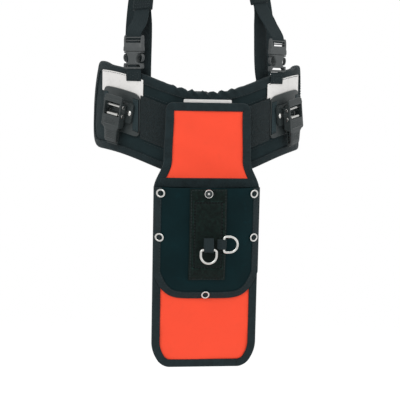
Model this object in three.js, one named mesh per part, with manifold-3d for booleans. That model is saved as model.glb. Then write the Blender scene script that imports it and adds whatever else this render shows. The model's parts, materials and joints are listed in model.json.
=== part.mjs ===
// A harness vest: a padded belt with braces over the shoulders, a lever clip on each hip,
// and a holster panel that hangs from the belt. Millimetres, +Z up, the holster faces -Y.
// The origin is the middle of the wearer's waist at belt height.
import * as THREE from 'three';
import { mergeVertices } from 'three/addons/utils/BufferGeometryUtils.js';
import Module from 'manifold-3d';

const wasm = await Module();
wasm.setup();

// ---- Driving dimensions ---------------------------------------------------------------
const gap = 0.3; // running gap between touching pieces

const waist = { halfWidth: 162, frontDepth: 138, backDepth: 112 };
const beltLevel = { frontDrop: 34, sideRise: 5 };
const pad = { thickness: 11, halfHeight: 64, halfLength: 222, corner: 34, edgeRound: 5 };
const loopBand = { halfHeight: 31, level: 5, thickness: 2.6 };

const webbing = { width: 25, thickness: 2 };
const rearWebbing = { width: 50, thickness: 2.4, overlap: 26 };
const rearBuckle = { width: 62, height: 56, thickness: 12, plug: 14 };

const clip = { place: 134, level: 5, plateWidth: 70, plateHeight: 62, plateThickness: 4, plateCorner: 9 };
const keeper = { width: 9, thickness: 1.6, height: 46, inset: 2 };
const flange = { width: 56, height: 30, thickness: 2.6, corner: 5 };
const rivet = { head: 4.2, shank: 1.9, reach: 22.5, dome: 1.9 };
const cheek = { width: 2.4, foot: 6, head: 2.6 };
const lever = { width: 34, height: 52, wall: 2.6, face: 3, rise: 17 };
const leverWindow = { width: 25, height: 19, middle: 2 };
const leverGrip = { ribs: 5, pitch: 3.2, proud: 0.9, lowest: -22.5 };
const pinRadius = 1.5;
const pivotHeight = 7;
const pawl = { height: -6, hub: 3.1, width: 20, reach: 4.8 };
const ladder = { width: 20, thickness: 3, top: 12, bottom: -50, pitch: 4, tooth: 1.2 };

const brace = { place: 111, tabOverlap: 17, splitHeight: 172, shoulderHeight: 430 };
const buckle = { width: 33, height: 46, thickness: 12, wall: 2.2, socket: 25, webBar: 5 };
const prong = { width: 4.6, height: 15, thickness: 5, proud: 1.4 };
const innerBrace = { place: 103, bottom: 0 };
const yoke = { height: 235, width: 44 };
const rearBrace = { shoulderPlace: 78, yokePlace: 98, beltPlace: 111, shift: 10.5 };

const panel = { top: 20.5, bottom: -366.5, thickness: 4, topHalf: 61, neckHalf: 59, lowHalf: 74 };
const panelShape = { topCorner: 9, neckHeight: -66, flareHeight: -106, chamferRise: 30, chamferRun: 20 };
const backPatch = { top: -150, bottom: -340, halfWidth: 60, proud: 1.4 };
const hanger = { halfWidth: 45, height: 46, thickness: 1.8 };
const pocket = { top: -102, bottom: -264, halfWidth: 76, depth: 22, wall: 2.6, belly: 13 };
const sleeve = { top: -104, bottom: -235, halfWidth: 26.5, depth: 10, wall: 2.4 };
const ring = { half: 11.2, wire: 1.9, leg: 8 };
const ringTab = { width: 14, height: -188, thickness: 1.6, frontTail: 17, sideTail: 9 };
const eyelet = { outer: 6.2, bore: 3, thickness: 1.3 };

// ---- Colours --------------------------------------------------------------------------
const paint = (color, roughness, metalness = 0) => ({ color, roughness, metalness });
const finishes = {
  padFabric: paint(0x1d1e22, 0.9),
  webbing: paint(0x17181b, 0.8),
  plastic: paint(0x24262b, 0.55),
  buckle: paint(0x3b3f41, 0.45),
  steel: paint(0xc9ccd0, 0.25, 1),
  orange: paint(0xf04e30, 0.6),
  leather: paint(0x0b1a1e, 0.45),
};

// ---- Solids ---------------------------------------------------------------------------
const model = new THREE.Group();
model.name = 'harness_vest';

function toSolid(geometry) {
  const bare = geometry.clone();
  bare.deleteAttribute('normal');
  bare.deleteAttribute('uv');
  const welded = mergeVertices(bare, 1e-4);
  return new wasm.Manifold(new wasm.Mesh({
    numProp: 3,
    vertProperties: new Float32Array(welded.attributes.position.array),
    triVerts: new Uint32Array(welded.index.array),
  }));
}

function toGeometry(solid) {
  const { vertProperties, triVerts } = solid.getMesh();
  const geometry = new THREE.BufferGeometry();
  geometry.setAttribute('position', new THREE.BufferAttribute(new Float32Array(vertProperties), 3));
  geometry.setIndex(new THREE.BufferAttribute(new Uint32Array(triVerts), 1));
  const flat = geometry.toNonIndexed();
  flat.computeVertexNormals();
  return flat;
}

const union = (solids) => solids.reduce((whole, solid) => whole.add(solid));
const cut = (solid, holes) => holes.reduce((whole, hole) => whole.subtract(hole), solid);

function addPiece(parent, name, shape, finish) {
  const geometry = shape.isBufferGeometry ? shape : toGeometry(shape);
  const mesh = new THREE.Mesh(geometry, new THREE.MeshStandardMaterial({ name, ...finishes[finish] }));
  mesh.name = name;
  parent.add(mesh);
}

// A box between two corners.
function box(low, high) {
  const size = high.map((value, axis) => value - low[axis]);
  const middle = high.map((value, axis) => (value + low[axis]) / 2);
  return new THREE.BoxGeometry(...size).translate(...middle);
}
const boxSolid = (low, high) => toSolid(box(low, high));

// A round bar along X, Y or Z through a middle point.
function rod(axis, radius, length, middle, sides = 24) {
  const geometry = new THREE.CylinderGeometry(radius, radius, length, sides);
  if (axis === 'x') geometry.rotateZ(Math.PI / 2);
  if (axis === 'z') geometry.rotateX(Math.PI / 2);
  return geometry.translate(...middle);
}

function roundedRectangle(halfWidth, low, high, radius) {
  const shape = new THREE.Shape();
  shape.moveTo(-halfWidth + radius, low);
  shape.absarc(halfWidth - radius, low + radius, radius, -Math.PI / 2, 0, false);
  shape.absarc(halfWidth - radius, high - radius, radius, 0, Math.PI / 2, false);
  shape.absarc(-halfWidth + radius, high - radius, radius, Math.PI / 2, Math.PI, false);
  shape.absarc(-halfWidth + radius, low + radius, radius, Math.PI, 1.5 * Math.PI, false);
  return shape;
}

// An outline in X and Z, from nearY outwards to farY (both measured along +Y).
function slab(shape, lowY, highY, curveSegments = 6) {
  const depth = highY - lowY;
  const geometry = new THREE.ExtrudeGeometry(shape, { depth, bevelEnabled: false, curveSegments });
  return geometry.rotateX(Math.PI / 2).translate(0, highY, 0);
}

// ---- The waist: pieces are laid along it, up it and out from it -------------------------
function halfWaist(depth, start) {
  const curve = new THREE.EllipseCurve(0, 0, waist.halfWidth, depth, start, start + Math.PI, false);
  curve.arcLengthDivisions = 600;
  return curve;
}
const frontWaist = halfWaist(waist.frontDepth, -Math.PI);
const backWaist = halfWaist(waist.backDepth, 0);
const frontLength = frontWaist.getLength();
const backLength = backWaist.getLength();

// The belt's middle line sits low at the front and rises to the sides.
function beltHeight(x) {
  const share = Math.cos((Math.PI * x) / (2 * waist.halfWidth)) ** 2;
  return beltLevel.sideRise - (beltLevel.sideRise + beltLevel.frontDrop) * share;
}

// The point and directions at an arc length from the front middle, positive towards +X.
function waistFrame(along) {
  const side = Math.sign(along) || 1;
  const past = Math.abs(along) - frontLength / 2;
  if (past <= 0) {
    const at = 0.5 + along / frontLength;
    const point = frontWaist.getPointAt(at);
    const tangent = frontWaist.getTangentAt(at);
    return { point, tangent, out: new THREE.Vector2(tangent.y, -tangent.x), height: beltHeight(point.x) };
  }
  const point = backWaist.getPointAt(Math.min(1, past / backLength));
  const tangent = backWaist.getTangentAt(Math.min(1, past / backLength));
  point.x *= side;
  tangent.y *= side;
  const out = new THREE.Vector2(tangent.y, -tangent.x);
  return { point, tangent, out, height: beltLevel.sideRise };
}

function onWaist(along, up, outward) {
  const { point, out, height } = waistFrame(along);
  return new THREE.Vector3(point.x + out.x * outward, point.y + out.y * outward, height + up);
}

// A band that follows the waist, with its ends rounded to a corner radius.
function waistBand({ from, to, inner, outer, low, high, corner = 0, round = 0, steps = 24 }) {
  const middle = (low + high) / 2;
  const half = (high - low) / 2;
  const shape = new THREE.Shape();
  const soft = Math.min(round, (outer - inner) / 2.2);
  if (soft > 0) {
    shape.absarc(outer - soft, half - soft, soft, 0, Math.PI / 2, false);
    shape.absarc(inner + soft, half - soft, soft, Math.PI / 2, Math.PI, false);
    shape.absarc(inner + soft, -half + soft, soft, Math.PI, 1.5 * Math.PI, false);
    shape.absarc(outer - soft, -half + soft, soft, 1.5 * Math.PI, 2 * Math.PI, false);
  } else {
    shape.moveTo(outer, -half);
    shape.lineTo(outer, half);
    shape.lineTo(inner, half);
    shape.lineTo(inner, -half);
  }
  const options = { depth: 1, steps, bevelEnabled: false, curveSegments: 3 };
  const geometry = new THREE.ExtrudeGeometry(shape, options);
  const position = geometry.attributes.position;
  for (let i = 0; i < position.count; i += 1) {
    const share = (1 - Math.cos(Math.PI * position.getZ(i))) / 2;
    const along = to + (from - to) * share;
    const toEnd = Math.min(along - from, to - along);
    const miss = Math.max(0, corner - toEnd);
    const lost = corner - Math.sqrt(Math.max(0, corner ** 2 - miss ** 2));
    const up = middle + (position.getY(i) * (half - lost)) / half;
    position.setXYZ(i, ...onWaist(along, up, position.getX(i)));
  }
  return geometry;
}

// A group set on the waist: X along it, Y out of it and Z up it, leaning with the belt's slope
// unless it is upright.
function waistGroup(along, outward, level = 0, upright = false) {
  const here = onWaist(along, level, outward);
  const before = onWaist(along - 1, level, outward);
  const after = onWaist(along + 1, level, outward);
  const sideways = after.sub(before);
  if (upright) sideways.z = 0;
  sideways.normalize();
  const { out } = waistFrame(along);
  const face = new THREE.Vector3(out.x, out.y, 0);
  const up = new THREE.Vector3().crossVectors(sideways, face).multiplyScalar(-1);
  const group = new THREE.Group();
  const basis = new THREE.Matrix4().makeBasis(sideways.negate(), face, up);
  group.quaternion.setFromRotationMatrix(basis);
  group.position.copy(here);
  model.add(group);
  return group;
}

// A flat strap of webbing that runs through points, its face turned towards a direction.
function strap(points, width, thickness, facing, stepsPerSpan = 5) {
  const curve = new THREE.CatmullRomCurve3(points.map((point) => new THREE.Vector3(...point)));
  const steps = stepsPerSpan * (points.length - 1);
  const shape = new THREE.Shape();
  shape.moveTo(-width / 2, -thickness / 2);
  shape.lineTo(width / 2, -thickness / 2);
  shape.lineTo(width / 2, thickness / 2);
  shape.lineTo(-width / 2, thickness / 2);
  const geometry = new THREE.ExtrudeGeometry(shape, { depth: 1, steps, bevelEnabled: false });
  const position = geometry.attributes.position;
  for (let i = 0; i < position.count; i += 1) {
    const at = curve.getPoint(position.getZ(i));
    const along = curve.getTangent(position.getZ(i));
    const wide = new THREE.Vector3().crossVectors(facing(at), along).normalize();
    const face = new THREE.Vector3().crossVectors(along, wide).normalize();
    at.addScaledVector(wide, position.getX(i)).addScaledVector(face, position.getY(i));
    position.setXYZ(i, at.x, at.y, at.z);
  }
  return geometry;
}

// ---- Belt -----------------------------------------------------------------------------
function addBelt() {
  const { thickness, halfHeight, halfLength, corner, edgeRound } = pad;
  addPiece(model, 'belt_pad', waistBand({
    from: -halfLength, to: halfLength, inner: -thickness, outer: 0,
    low: -halfHeight, high: halfHeight, corner, round: edgeRound, steps: 56,
  }), 'padFabric');
  const reach = clip.place - clip.plateWidth / 2 - gap;
  addPiece(model, 'loop_band', waistBand({
    from: -reach, to: reach, inner: gap, outer: gap + loopBand.thickness,
    low: loopBand.level - loopBand.halfHeight, high: loopBand.level + loopBand.halfHeight, steps: 28,
  }), 'webbing');
}

// The rear webbing starts against the inside of the pad's ends and meets at a buckle.
function addRearWebbing() {
  const outer = -pad.thickness - gap;
  const total = frontLength / 2 + backLength / 2;
  const half = rearWebbing.width / 2;
  const start = pad.halfLength - rearWebbing.overlap;
  const backRadius = waist.halfWidth ** 2 / waist.backDepth;
  const shrink = 1 + (outer - rearWebbing.thickness) / backRadius;
  const end = total - (rearBuckle.width / 2 + gap) / shrink;
  for (const [side, mirror] of [['left', -1], ['right', 1]]) {
    const [from, to] = mirror > 0 ? [start, end] : [-end, -start];
    addPiece(model, `rear_webbing_${side}`, waistBand({
      from, to, inner: outer - rearWebbing.thickness, outer, low: -half, high: half, steps: 24,
    }), 'webbing');
  }
}

function addRearBuckle() {
  const group = new THREE.Group();
  group.position.set(0, waist.backDepth - pad.thickness - rearWebbing.thickness / 2, beltLevel.sideRise);
  model.add(group);
  const half = rearBuckle.thickness / 2;
  const low = -rearBuckle.height / 2;
  const halfBody = (rearBuckle.width - rearBuckle.plug) / 2;
  const body = toSolid(slab(roundedRectangle(halfBody, low, -low, 7), -half, half)
    .translate(rearBuckle.plug / 2, 0, 0));
  const left = rearBuckle.plug - rearBuckle.width / 2;
  const tongue = { half: 17, rise: 3, end: left + 34 };
  const hollow = boxSolid([left - 2, -tongue.rise - gap, -tongue.half - gap],
    [tongue.end + gap, tongue.rise + gap, tongue.half + gap]);
  addPiece(group, 'rear_buckle_socket', cut(body, [hollow]), 'buckle');
  const plugEnd = boxSolid([-rearBuckle.width / 2, -half, low + 2], [left - gap, half, -low - 2]);
  const blade = boxSolid([left - 2, -tongue.rise, -tongue.half], [tongue.end, tongue.rise, tongue.half]);
  addPiece(group, 'rear_buckle_plug', plugEnd.add(blade), 'buckle');
}

// ---- Hip clips ------------------------------------------------------------------------
function addSidePlate(side, mirror) {
  const centre = mirror * clip.place;
  const half = clip.plateWidth / 2;
  const plate = toSolid(waistBand({
    from: centre - half, to: centre + half, inner: gap, outer: gap + clip.plateThickness,
    low: clip.level - clip.plateHeight / 2, high: clip.level + clip.plateHeight / 2, corner: clip.plateCorner, steps: 16,
  }));
  const reach = half - keeper.inset - keeper.width / 2;
  const slots = [-1, 1].map((end) => toSolid(waistBand({
    from: centre + end * reach - keeper.width / 2 - gap,
    to: centre + end * reach + keeper.width / 2 + gap,
    inner: gap + clip.plateThickness - keeper.thickness - gap,
    outer: clip.plateThickness + 4,
    low: clip.level - keeper.height / 2 - gap, high: clip.level + keeper.height / 2 + gap, steps: 4,
  })));
  addPiece(model, `side_plate_${side}`, cut(plate, slots), 'plastic');
  for (const [name, end] of [['front', -mirror], ['rear', mirror]]) {
    const outer = gap + clip.plateThickness;
    addPiece(model, `keeper_${name}_${side}`, waistBand({
      from: centre + end * reach - keeper.width / 2, to: centre + end * reach + keeper.width / 2,
      inner: outer - keeper.thickness, outer,
      low: clip.level - keeper.height / 2, high: clip.level + keeper.height / 2, steps: 4,
    }), 'webbing');
  }
}

const leverOuter = lever.width / 2;
const leverInner = leverOuter - lever.wall;
const cheekOuter = leverInner - gap;
const cheekInner = cheekOuter - cheek.width;
const pinHeight = flange.thickness + 8.5;

function leverBase() {
  const plate = toSolid(slab(roundedRectangle(flange.width / 2, -flange.height / 2,
    flange.height / 2, flange.corner), 0, flange.thickness));
  const cheeks = [-1, 1].flatMap((end) => [
    boxSolid([end > 0 ? cheekInner : -cheekOuter, flange.thickness - 0.5, pivotHeight - cheek.foot],
      [end > 0 ? cheekOuter : -cheekInner, pinHeight, pivotHeight + cheek.head]),
    toSolid(rod('x', cheek.head, cheek.width, [end * (cheekOuter + cheekInner) / 2, pinHeight, pivotHeight])),
  ]);
  const rivetHoles = [-1, 1].map((end) => toSolid(
    rod('y', rivet.shank + gap, 20, [end * rivet.reach, 0, 0])));
  const pinHole = toSolid(rod('x', pinRadius + gap, 60, [0, pinHeight, pivotHeight]));
  return cut(union([plate, ...cheeks]), [...rivetHoles, pinHole]);
}

function leverBody() {
  const bottom = -lever.height / 2;
  const top = lever.height / 2;
  const back = flange.thickness + 1.2;
  const outline = toSolid(box([-leverOuter, back, bottom], [leverOuter, lever.rise, top]));
  const inside = boxSolid([-leverInner, back - 1, bottom - 1], [leverInner, lever.rise - lever.face, top - 4]);
  const { width, height, middle } = leverWindow;
  const window = boxSolid([-width / 2, 0, middle - height / 2], [width / 2, 40, middle + height / 2]);
  const flangeRelief = boxSolid([-leverOuter - 1, 0, -flange.height / 2 - 1.5],
    [leverOuter + 1, flange.thickness + gap, flange.height / 2 + 1.5]);
  const topRelief = boxSolid([-leverOuter - 1, 0, pivotHeight + 3.5],
    [leverOuter + 1, lever.rise - lever.face - 1, top + 1]);
  const ribs = Array.from({ length: leverGrip.ribs }, (_, i) => boxSolid(
    [-width / 2, lever.rise - 1, leverGrip.lowest + i * leverGrip.pitch],
    [width / 2, lever.rise + leverGrip.proud, leverGrip.lowest + i * leverGrip.pitch + leverGrip.pitch / 2],
  ));
  const pinHole = toSolid(rod('x', pinRadius + gap, 60, [0, pinHeight, pivotHeight]));
  const pawlHole = toSolid(rod('x', pinRadius + gap, 60, [0, pinHeight, pawl.height]));
  return cut(union([outline, ...ribs]), [inside, window, flangeRelief, topRelief, pinHole, pawlHole]);
}

function pinWithHeads(height, shankHalf) {
  const shank = toSolid(rod('x', pinRadius, 2 * shankHalf + 2.4, [0, pinHeight, height]));
  const heads = [-1, 1].map((end) => toSolid(
    rod('x', pinRadius + 1, 1.2, [end * (shankHalf + gap + 0.6), pinHeight, height])));
  return union([shank, ...heads]);
}

function pawlBody() {
  const half = pawl.width / 2;
  const hub = toSolid(rod('x', pawl.hub, pawl.width, [0, pinHeight, pawl.height]));
  const finger = boxSolid([-half, pinHeight - pawl.reach, pawl.height - pawl.hub],
    [half, pinHeight, pawl.height - pawl.hub + 2.2]);
  const bore = toSolid(rod('x', pinRadius + gap, 60, [0, pinHeight, pawl.height]));
  return cut(hub.add(finger), [bore]);
}

function ladderStrap() {
  const half = ladder.width / 2;
  const low = flange.thickness + gap;
  const body = boxSolid([-half, low, ladder.bottom], [half, low + ladder.thickness - ladder.tooth, ladder.top]);
  const count = Math.floor((ladder.top - ladder.bottom) / ladder.pitch);
  const teeth = Array.from({ length: count }, (_, i) => boxSolid(
    [-half, low + 0.5, ladder.bottom + i * ladder.pitch],
    [half, low + ladder.thickness, ladder.bottom + (i + 0.45) * ladder.pitch],
  ));
  return union([body, ...teeth]);
}

function rivetSolid() {
  const { head, shank, dome } = rivet;
  const floor = flange.thickness + gap;
  const points = [new THREE.Vector2(0, 0.1), new THREE.Vector2(shank, 0.1), new THREE.Vector2(shank, floor)];
  points.push(new THREE.Vector2(head, floor));
  for (let i = 1; i < 4; i += 1) {
    const turn = (i * Math.PI) / 8;
    points.push(new THREE.Vector2(head * Math.cos(turn), floor + dome * Math.sin(turn)));
  }
  points.push(new THREE.Vector2(0, floor + dome));
  return new THREE.LatheGeometry(points, 18);
}

function addHipClip(side, mirror) {
  addSidePlate(side, mirror);
  const group = waistGroup(mirror * clip.place, gap + clip.plateThickness + 2 * gap, clip.level);
  addPiece(group, `lever_base_${side}`, leverBase(), 'plastic');
  addPiece(group, `lever_${side}`, leverBody(), 'plastic');
  addPiece(group, `lever_pin_${side}`, pinWithHeads(pivotHeight, leverOuter), 'steel');
  addPiece(group, `pawl_pin_${side}`, pinWithHeads(pawl.height, leverOuter), 'steel');
  addPiece(group, `pawl_${side}`, pawlBody(), 'steel');
  addPiece(group, `ladder_strap_${side}`, ladderStrap(), 'plastic');
  for (const [name, end] of [['front', mirror], ['rear', -mirror]]) {
    const rivetGeometry = rivetSolid().translate(end * rivet.reach, 0, 0);
    addPiece(group, `rivet_${name}_${side}`, rivetGeometry, 'steel');
  }
}

// ---- Braces ---------------------------------------------------------------------------
const buckleBottom = pad.halfHeight + 6;

// One shoulder buckle in its own frame: X across, Y out, Z up from the pad's top edge.
function buckleSocket() {
  const half = buckle.width / 2;
  const deep = buckle.thickness / 2;
  const top = buckleBottom + buckle.socket;
  const shell = toSolid(slab(roundedRectangle(half, buckleBottom, top, 4), -deep, deep));
  const { wall } = buckle;
  const hollow = boxSolid([-half + wall, -deep + wall, buckleBottom + buckle.webBar + 3],
    [half - wall, deep - wall, top + 1]);
  const windows = boxSolid([-half - 1, -prong.thickness / 2 - gap, top - prong.height - gap],
    [half + 1, prong.thickness / 2 + gap, top - 3]);
  const webSlot = boxSolid([-half + 3, -deep - 1, buckleBottom + 2.4], [half - 3, deep + 1, buckleBottom + 5]);
  return cut(shell, [hollow, windows, webSlot]);
}

function bucklePlug() {
  const half = buckle.width / 2;
  const deep = buckle.thickness / 2;
  const low = buckleBottom + buckle.socket + gap;
  const high = buckleBottom + buckle.height;
  const head = toSolid(slab(roundedRectangle(half - 1, low, high, 4), -deep + 1, deep - 1));
  const blade = boxSolid([-5, -deep + buckle.wall + gap, buckleBottom + buckle.webBar + 5],
    [5, deep - buckle.wall - gap, low + 2]);
  const webSlots = [0, 1].map((row) => boxSolid(
    [-half + 4, -deep - 1, high - 6 - row * 6.5], [half - 4, deep + 1, high - 3 - row * 6.5]));
  return cut(head.add(blade), webSlots);
}

function prongSolid(end) {
  const half = buckle.width / 2;
  const top = buckleBottom + buckle.socket - 3 - gap;
  const low = top - prong.height + 3 + gap;
  const outer = half + prong.proud;
  const span = [outer - prong.width, outer].map((value) => end * value).sort((a, b) => a - b);
  const shape = new THREE.Shape();
  shape.moveTo(span[0], low);
  shape.lineTo(span[1], low);
  shape.lineTo(span[1], top);
  shape.lineTo(span[0], top);
  return slab(shape, -prong.thickness / 2, prong.thickness / 2);
}

// A sewn tab lies on the pad's face and ends just under the buckle.
function addBraceBuckle(side, mirror) {
  const group = waistGroup(mirror * brace.place, gap + webbing.thickness / 2, 0, true);
  const tab = box([-webbing.width / 2, -webbing.thickness / 2, buckleBottom - brace.tabOverlap],
    [webbing.width / 2, webbing.thickness / 2, buckleBottom - gap]);
  addPiece(group, `belt_tab_${side}`, tab, 'webbing');
  addPiece(group, `buckle_socket_${side}`, buckleSocket(), 'buckle');
  addPiece(group, `buckle_plug_${side}`, bucklePlug(), 'buckle');
  addPiece(group, `buckle_prong_front_${side}`, prongSolid(mirror), 'buckle');
  addPiece(group, `buckle_prong_rear_${side}`, prongSolid(-mirror), 'buckle');
  group.updateMatrixWorld(true);
  const top = buckleBottom + buckle.height + gap;
  return [0, 9].map((rise) => group.localToWorld(new THREE.Vector3(0, 0, top + rise)));
}

// A strap's face points straight out from the waist, upwards over the shoulder and straight back
// at the yoke.
function awayFromBody(at) {
  const start = 300;
  const rise = Math.max(0, (at.z - start) / (brace.shoulderHeight - start)) ** 2;
  const depth = at.y < 0 ? waist.frontDepth : waist.backDepth;
  const turn = at.y < 0 ? -at.y / 60 : (yoke.height - 35 - at.z) / 90;
  const spread = THREE.MathUtils.clamp(turn, 0, 1);
  const out = new THREE.Vector3((spread * at.x) / waist.halfWidth ** 2, at.y / depth ** 2, 0);
  out.normalize();
  return out.multiplyScalar(1 - rise).add(new THREE.Vector3(0, 0, rise)).normalize();
}

// Where a brace hangs behind: it spreads from the shoulder to the yoke, and the back hangs to one side.
function rearPlace(mirror, height) {
  const share = (brace.shoulderHeight - height) / (brace.shoulderHeight - yoke.height);
  const spread = rearBrace.shoulderPlace + (rearBrace.yokePlace - rearBrace.shoulderPlace) * share;
  return mirror * spread + rearBrace.shift * share;
}

function addBrace(side, mirror, start) {
  const rearEnd = beltLevel.sideRise + rearWebbing.width / 2 + gap;
  const rearLow = mirror * rearBrace.beltPlace + rearBrace.shift;
  const rearDepth = waist.backDepth * Math.sqrt(1 - (rearLow / waist.halfWidth) ** 2) - pad.thickness - 2;
  addPiece(model, `brace_${side}`, strap([
    ...start.map((point) => point.toArray()),
    [mirror * 96, -98, brace.splitHeight - 38],
    [mirror * 91, -90, brace.splitHeight],
    [mirror * 88, -86, 250],
    [mirror * 84, -74, 330],
    [mirror * 80, -44, 405],
    [mirror * rearBrace.shoulderPlace, 6, brace.shoulderHeight],
    [rearPlace(mirror, 405), 56, 405],
    [rearPlace(mirror, 330), 84, 330],
    [rearPlace(mirror, yoke.height), 94, yoke.height],
    [rearLow, rearDepth, 110],
    [rearLow, rearDepth, rearEnd],
  ], webbing.width, webbing.thickness, awayFromBody, 3), 'webbing');
  const inside = -pad.thickness - gap - webbing.thickness / 2 - 1.2;
  const along = mirror * innerBrace.place;
  const low = onWaist(along, innerBrace.bottom, inside);
  const high = onWaist(along, pad.halfHeight + 10, inside);
  addPiece(model, `inner_brace_${side}`, strap([
    [mirror * 88, -84, brace.splitHeight - 4],
    [mirror * 89, -88, (brace.splitHeight + high.z) / 2],
    [high.x, high.y, high.z],
    [low.x, low.y, (high.z + low.z) / 2],
    [low.x, low.y, low.z],
  ], webbing.width, webbing.thickness, awayFromBody, 4), 'webbing');
}

function addYoke() {
  const y = 94 + webbing.thickness / 2 + gap;
  const half = rearBrace.yokePlace + webbing.width / 2;
  const { shift } = rearBrace;
  addPiece(model, 'rear_yoke', box([shift - half, y, yoke.height - yoke.width / 2],
    [shift + half, y + webbing.thickness, yoke.height + yoke.width / 2]), 'webbing');
}

// ---- Holster --------------------------------------------------------------------------
const panelBack = -(waist.frontDepth + loopBand.thickness + hanger.thickness + 3 * gap);
const panelFront = panelBack - panel.thickness;
const pocketFront = panelFront - gap - pocket.depth;
const sleeveFront = pocketFront - gap - sleeve.depth;

function panelOutline() {
  const { top, bottom, topHalf, neckHalf, lowHalf } = panel;
  const { topCorner, neckHeight, flareHeight, chamferRise, chamferRun } = panelShape;
  const shape = new THREE.Shape();
  shape.moveTo(-lowHalf + chamferRun, bottom);
  shape.lineTo(lowHalf - chamferRun, bottom);
  shape.quadraticCurveTo(lowHalf - 5, bottom + 3, lowHalf - 1, bottom + chamferRise);
  shape.lineTo(lowHalf, flareHeight);
  shape.quadraticCurveTo(neckHalf + 3, neckHeight - 10, neckHalf, neckHeight);
  shape.lineTo(topHalf, top - topCorner);
  shape.absarc(topHalf - topCorner, top - topCorner, topCorner, 0, Math.PI / 2, false);
  shape.absarc(-topHalf + topCorner, top - topCorner, topCorner, Math.PI / 2, Math.PI, false);
  shape.lineTo(-neckHalf, neckHeight);
  shape.quadraticCurveTo(-neckHalf - 3, neckHeight - 10, -lowHalf, flareHeight);
  shape.lineTo(-lowHalf + 1, bottom + chamferRise);
  shape.quadraticCurveTo(-lowHalf + 5, bottom + 3, -lowHalf + chamferRun, bottom);
  return shape;
}

function addPanel() {
  const board = toSolid(slab(panelOutline(), panelFront, panelBack, 8));
  const { top, bottom, halfWidth, proud } = backPatch;
  const patch = toSolid(slab(roundedRectangle(halfWidth, bottom, top, 12), panelBack - 1, panelBack + proud));
  addPiece(model, 'holster_panel', board.add(patch), 'orange');
  const high = panel.top - 2;
  const hangerBack = panelBack + gap;
  addPiece(model, 'hanger_strap', box([-hanger.halfWidth, hangerBack, high - hanger.height],
    [hanger.halfWidth, hangerBack + hanger.thickness, high]), 'webbing');
}

// The pocket's sides and curved bottom, shrunk by an inset.
function pocketOutline(inset, top) {
  const { bottom, halfWidth, belly } = pocket;
  const half = halfWidth - inset;
  const shape = new THREE.Shape();
  shape.moveTo(-half, top);
  shape.lineTo(-half, bottom + 34 + inset);
  shape.quadraticCurveTo(-half, bottom + belly + inset, -half + 24, bottom + belly / 2 + inset);
  shape.quadraticCurveTo(0, bottom - belly / 2 + inset, half - 24, bottom + belly / 2 + inset);
  shape.quadraticCurveTo(half, bottom + belly + inset, half, bottom + 34 + inset);
  shape.lineTo(half, top);
  return shape;
}

const pocketEyelets = [
  { name: 'top_left', x: -pocket.halfWidth + 8.5, z: pocket.top - 8.5 },
  { name: 'top_right', x: pocket.halfWidth - 8.5, z: pocket.top - 8.5 },
  { name: 'low_left', x: -pocket.halfWidth + 7.5, z: pocket.top - 72 },
  { name: 'low_right', x: pocket.halfWidth - 7.5, z: pocket.top - 72 },
  { name: 'bottom', x: 0, z: pocket.bottom + 5 },
];

function addPocket() {
  const shell = toSolid(slab(pocketOutline(0, pocket.top), pocketFront, panelFront - gap, 8));
  const hollowShape = pocketOutline(pocket.wall * 2, pocket.top + 5);
  const hollow = toSolid(slab(hollowShape, pocketFront + pocket.wall, panelFront + 5, 8));
  addPiece(model, 'tool_pocket', cut(shell, [hollow]), 'leather');
  for (const { name, x, z } of pocketEyelets) {
    const face = pocketFront - gap;
    const disc = toSolid(rod('y', eyelet.outer, eyelet.thickness, [x, face - eyelet.thickness / 2, z], 20));
    const bore = toSolid(rod('y', eyelet.bore, 20, [x, face, z], 16));
    addPiece(model, `eyelet_${name}`, cut(disc, [bore]), 'steel');
  }
}

function addSleeve() {
  const { top, bottom, halfWidth, wall } = sleeve;
  const shell = boxSolid([-halfWidth, sleeveFront, bottom], [halfWidth, pocketFront - gap, top - 10]);
  const hollow = boxSolid([-halfWidth + wall, sleeveFront + wall, bottom + wall],
    [halfWidth - wall, pocketFront + 5, top]);
  addPiece(model, 'tool_sleeve', cut(shell, [hollow]), 'webbing');
  const button = [new THREE.Vector2(0, 0), new THREE.Vector2(6.5, 0), new THREE.Vector2(6.5, 1.2),
    new THREE.Vector2(4, 2.2), new THREE.Vector2(0, 2.6)];
  const snap = new THREE.LatheGeometry(button, 20).rotateX(Math.PI);
  addPiece(model, 'pocket_snap', snap.translate(0, pocketFront - gap, pocket.top - 5), 'steel');
}

// A D of wire: a straight bar along X at the top, two legs and a half round below.
function ringSolid() {
  const { half, wire, leg } = ring;
  const bar = toSolid(rod('x', wire, 2 * (half + wire), [0, 0, 0], 10));
  const legs = [-1, 1].map((end) => toSolid(rod('z', wire, leg, [end * half, 0, -leg / 2], 10)));
  const wireShape = new THREE.Shape();
  wireShape.absarc(0, 0, wire, 0, 2 * Math.PI, false);
  const bend = Array.from({ length: 9 }, (_, i) => new THREE.Vector3(
    half * Math.cos((i * Math.PI) / 8), 0, -leg - half * Math.sin((i * Math.PI) / 8)));
  const extrudePath = new THREE.CatmullRomCurve3(bend);
  const options = { steps: 16, bevelEnabled: false, curveSegments: 5, extrudePath };
  return union([bar, ...legs, toSolid(new THREE.ExtrudeGeometry(wireShape, options))]);
}

// A webbing tab sewn down along one side of the ring's bar and looped round it.
function ringTabSolid(tail) {
  const { width, thickness } = ringTab;
  const reach = ring.wire + gap + thickness;
  const loop = boxSolid([-width / 2, -reach, -reach], [width / 2, ring.wire + 2 * gap + thickness, reach]);
  const strip = boxSolid([-width / 2, ring.wire + 2 * gap, 0], [width / 2, reach + gap, tail]);
  return cut(loop.add(strip), [toSolid(rod('x', ring.wire + gap, 60, [0, 0, 0], 16))]);
}

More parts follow.
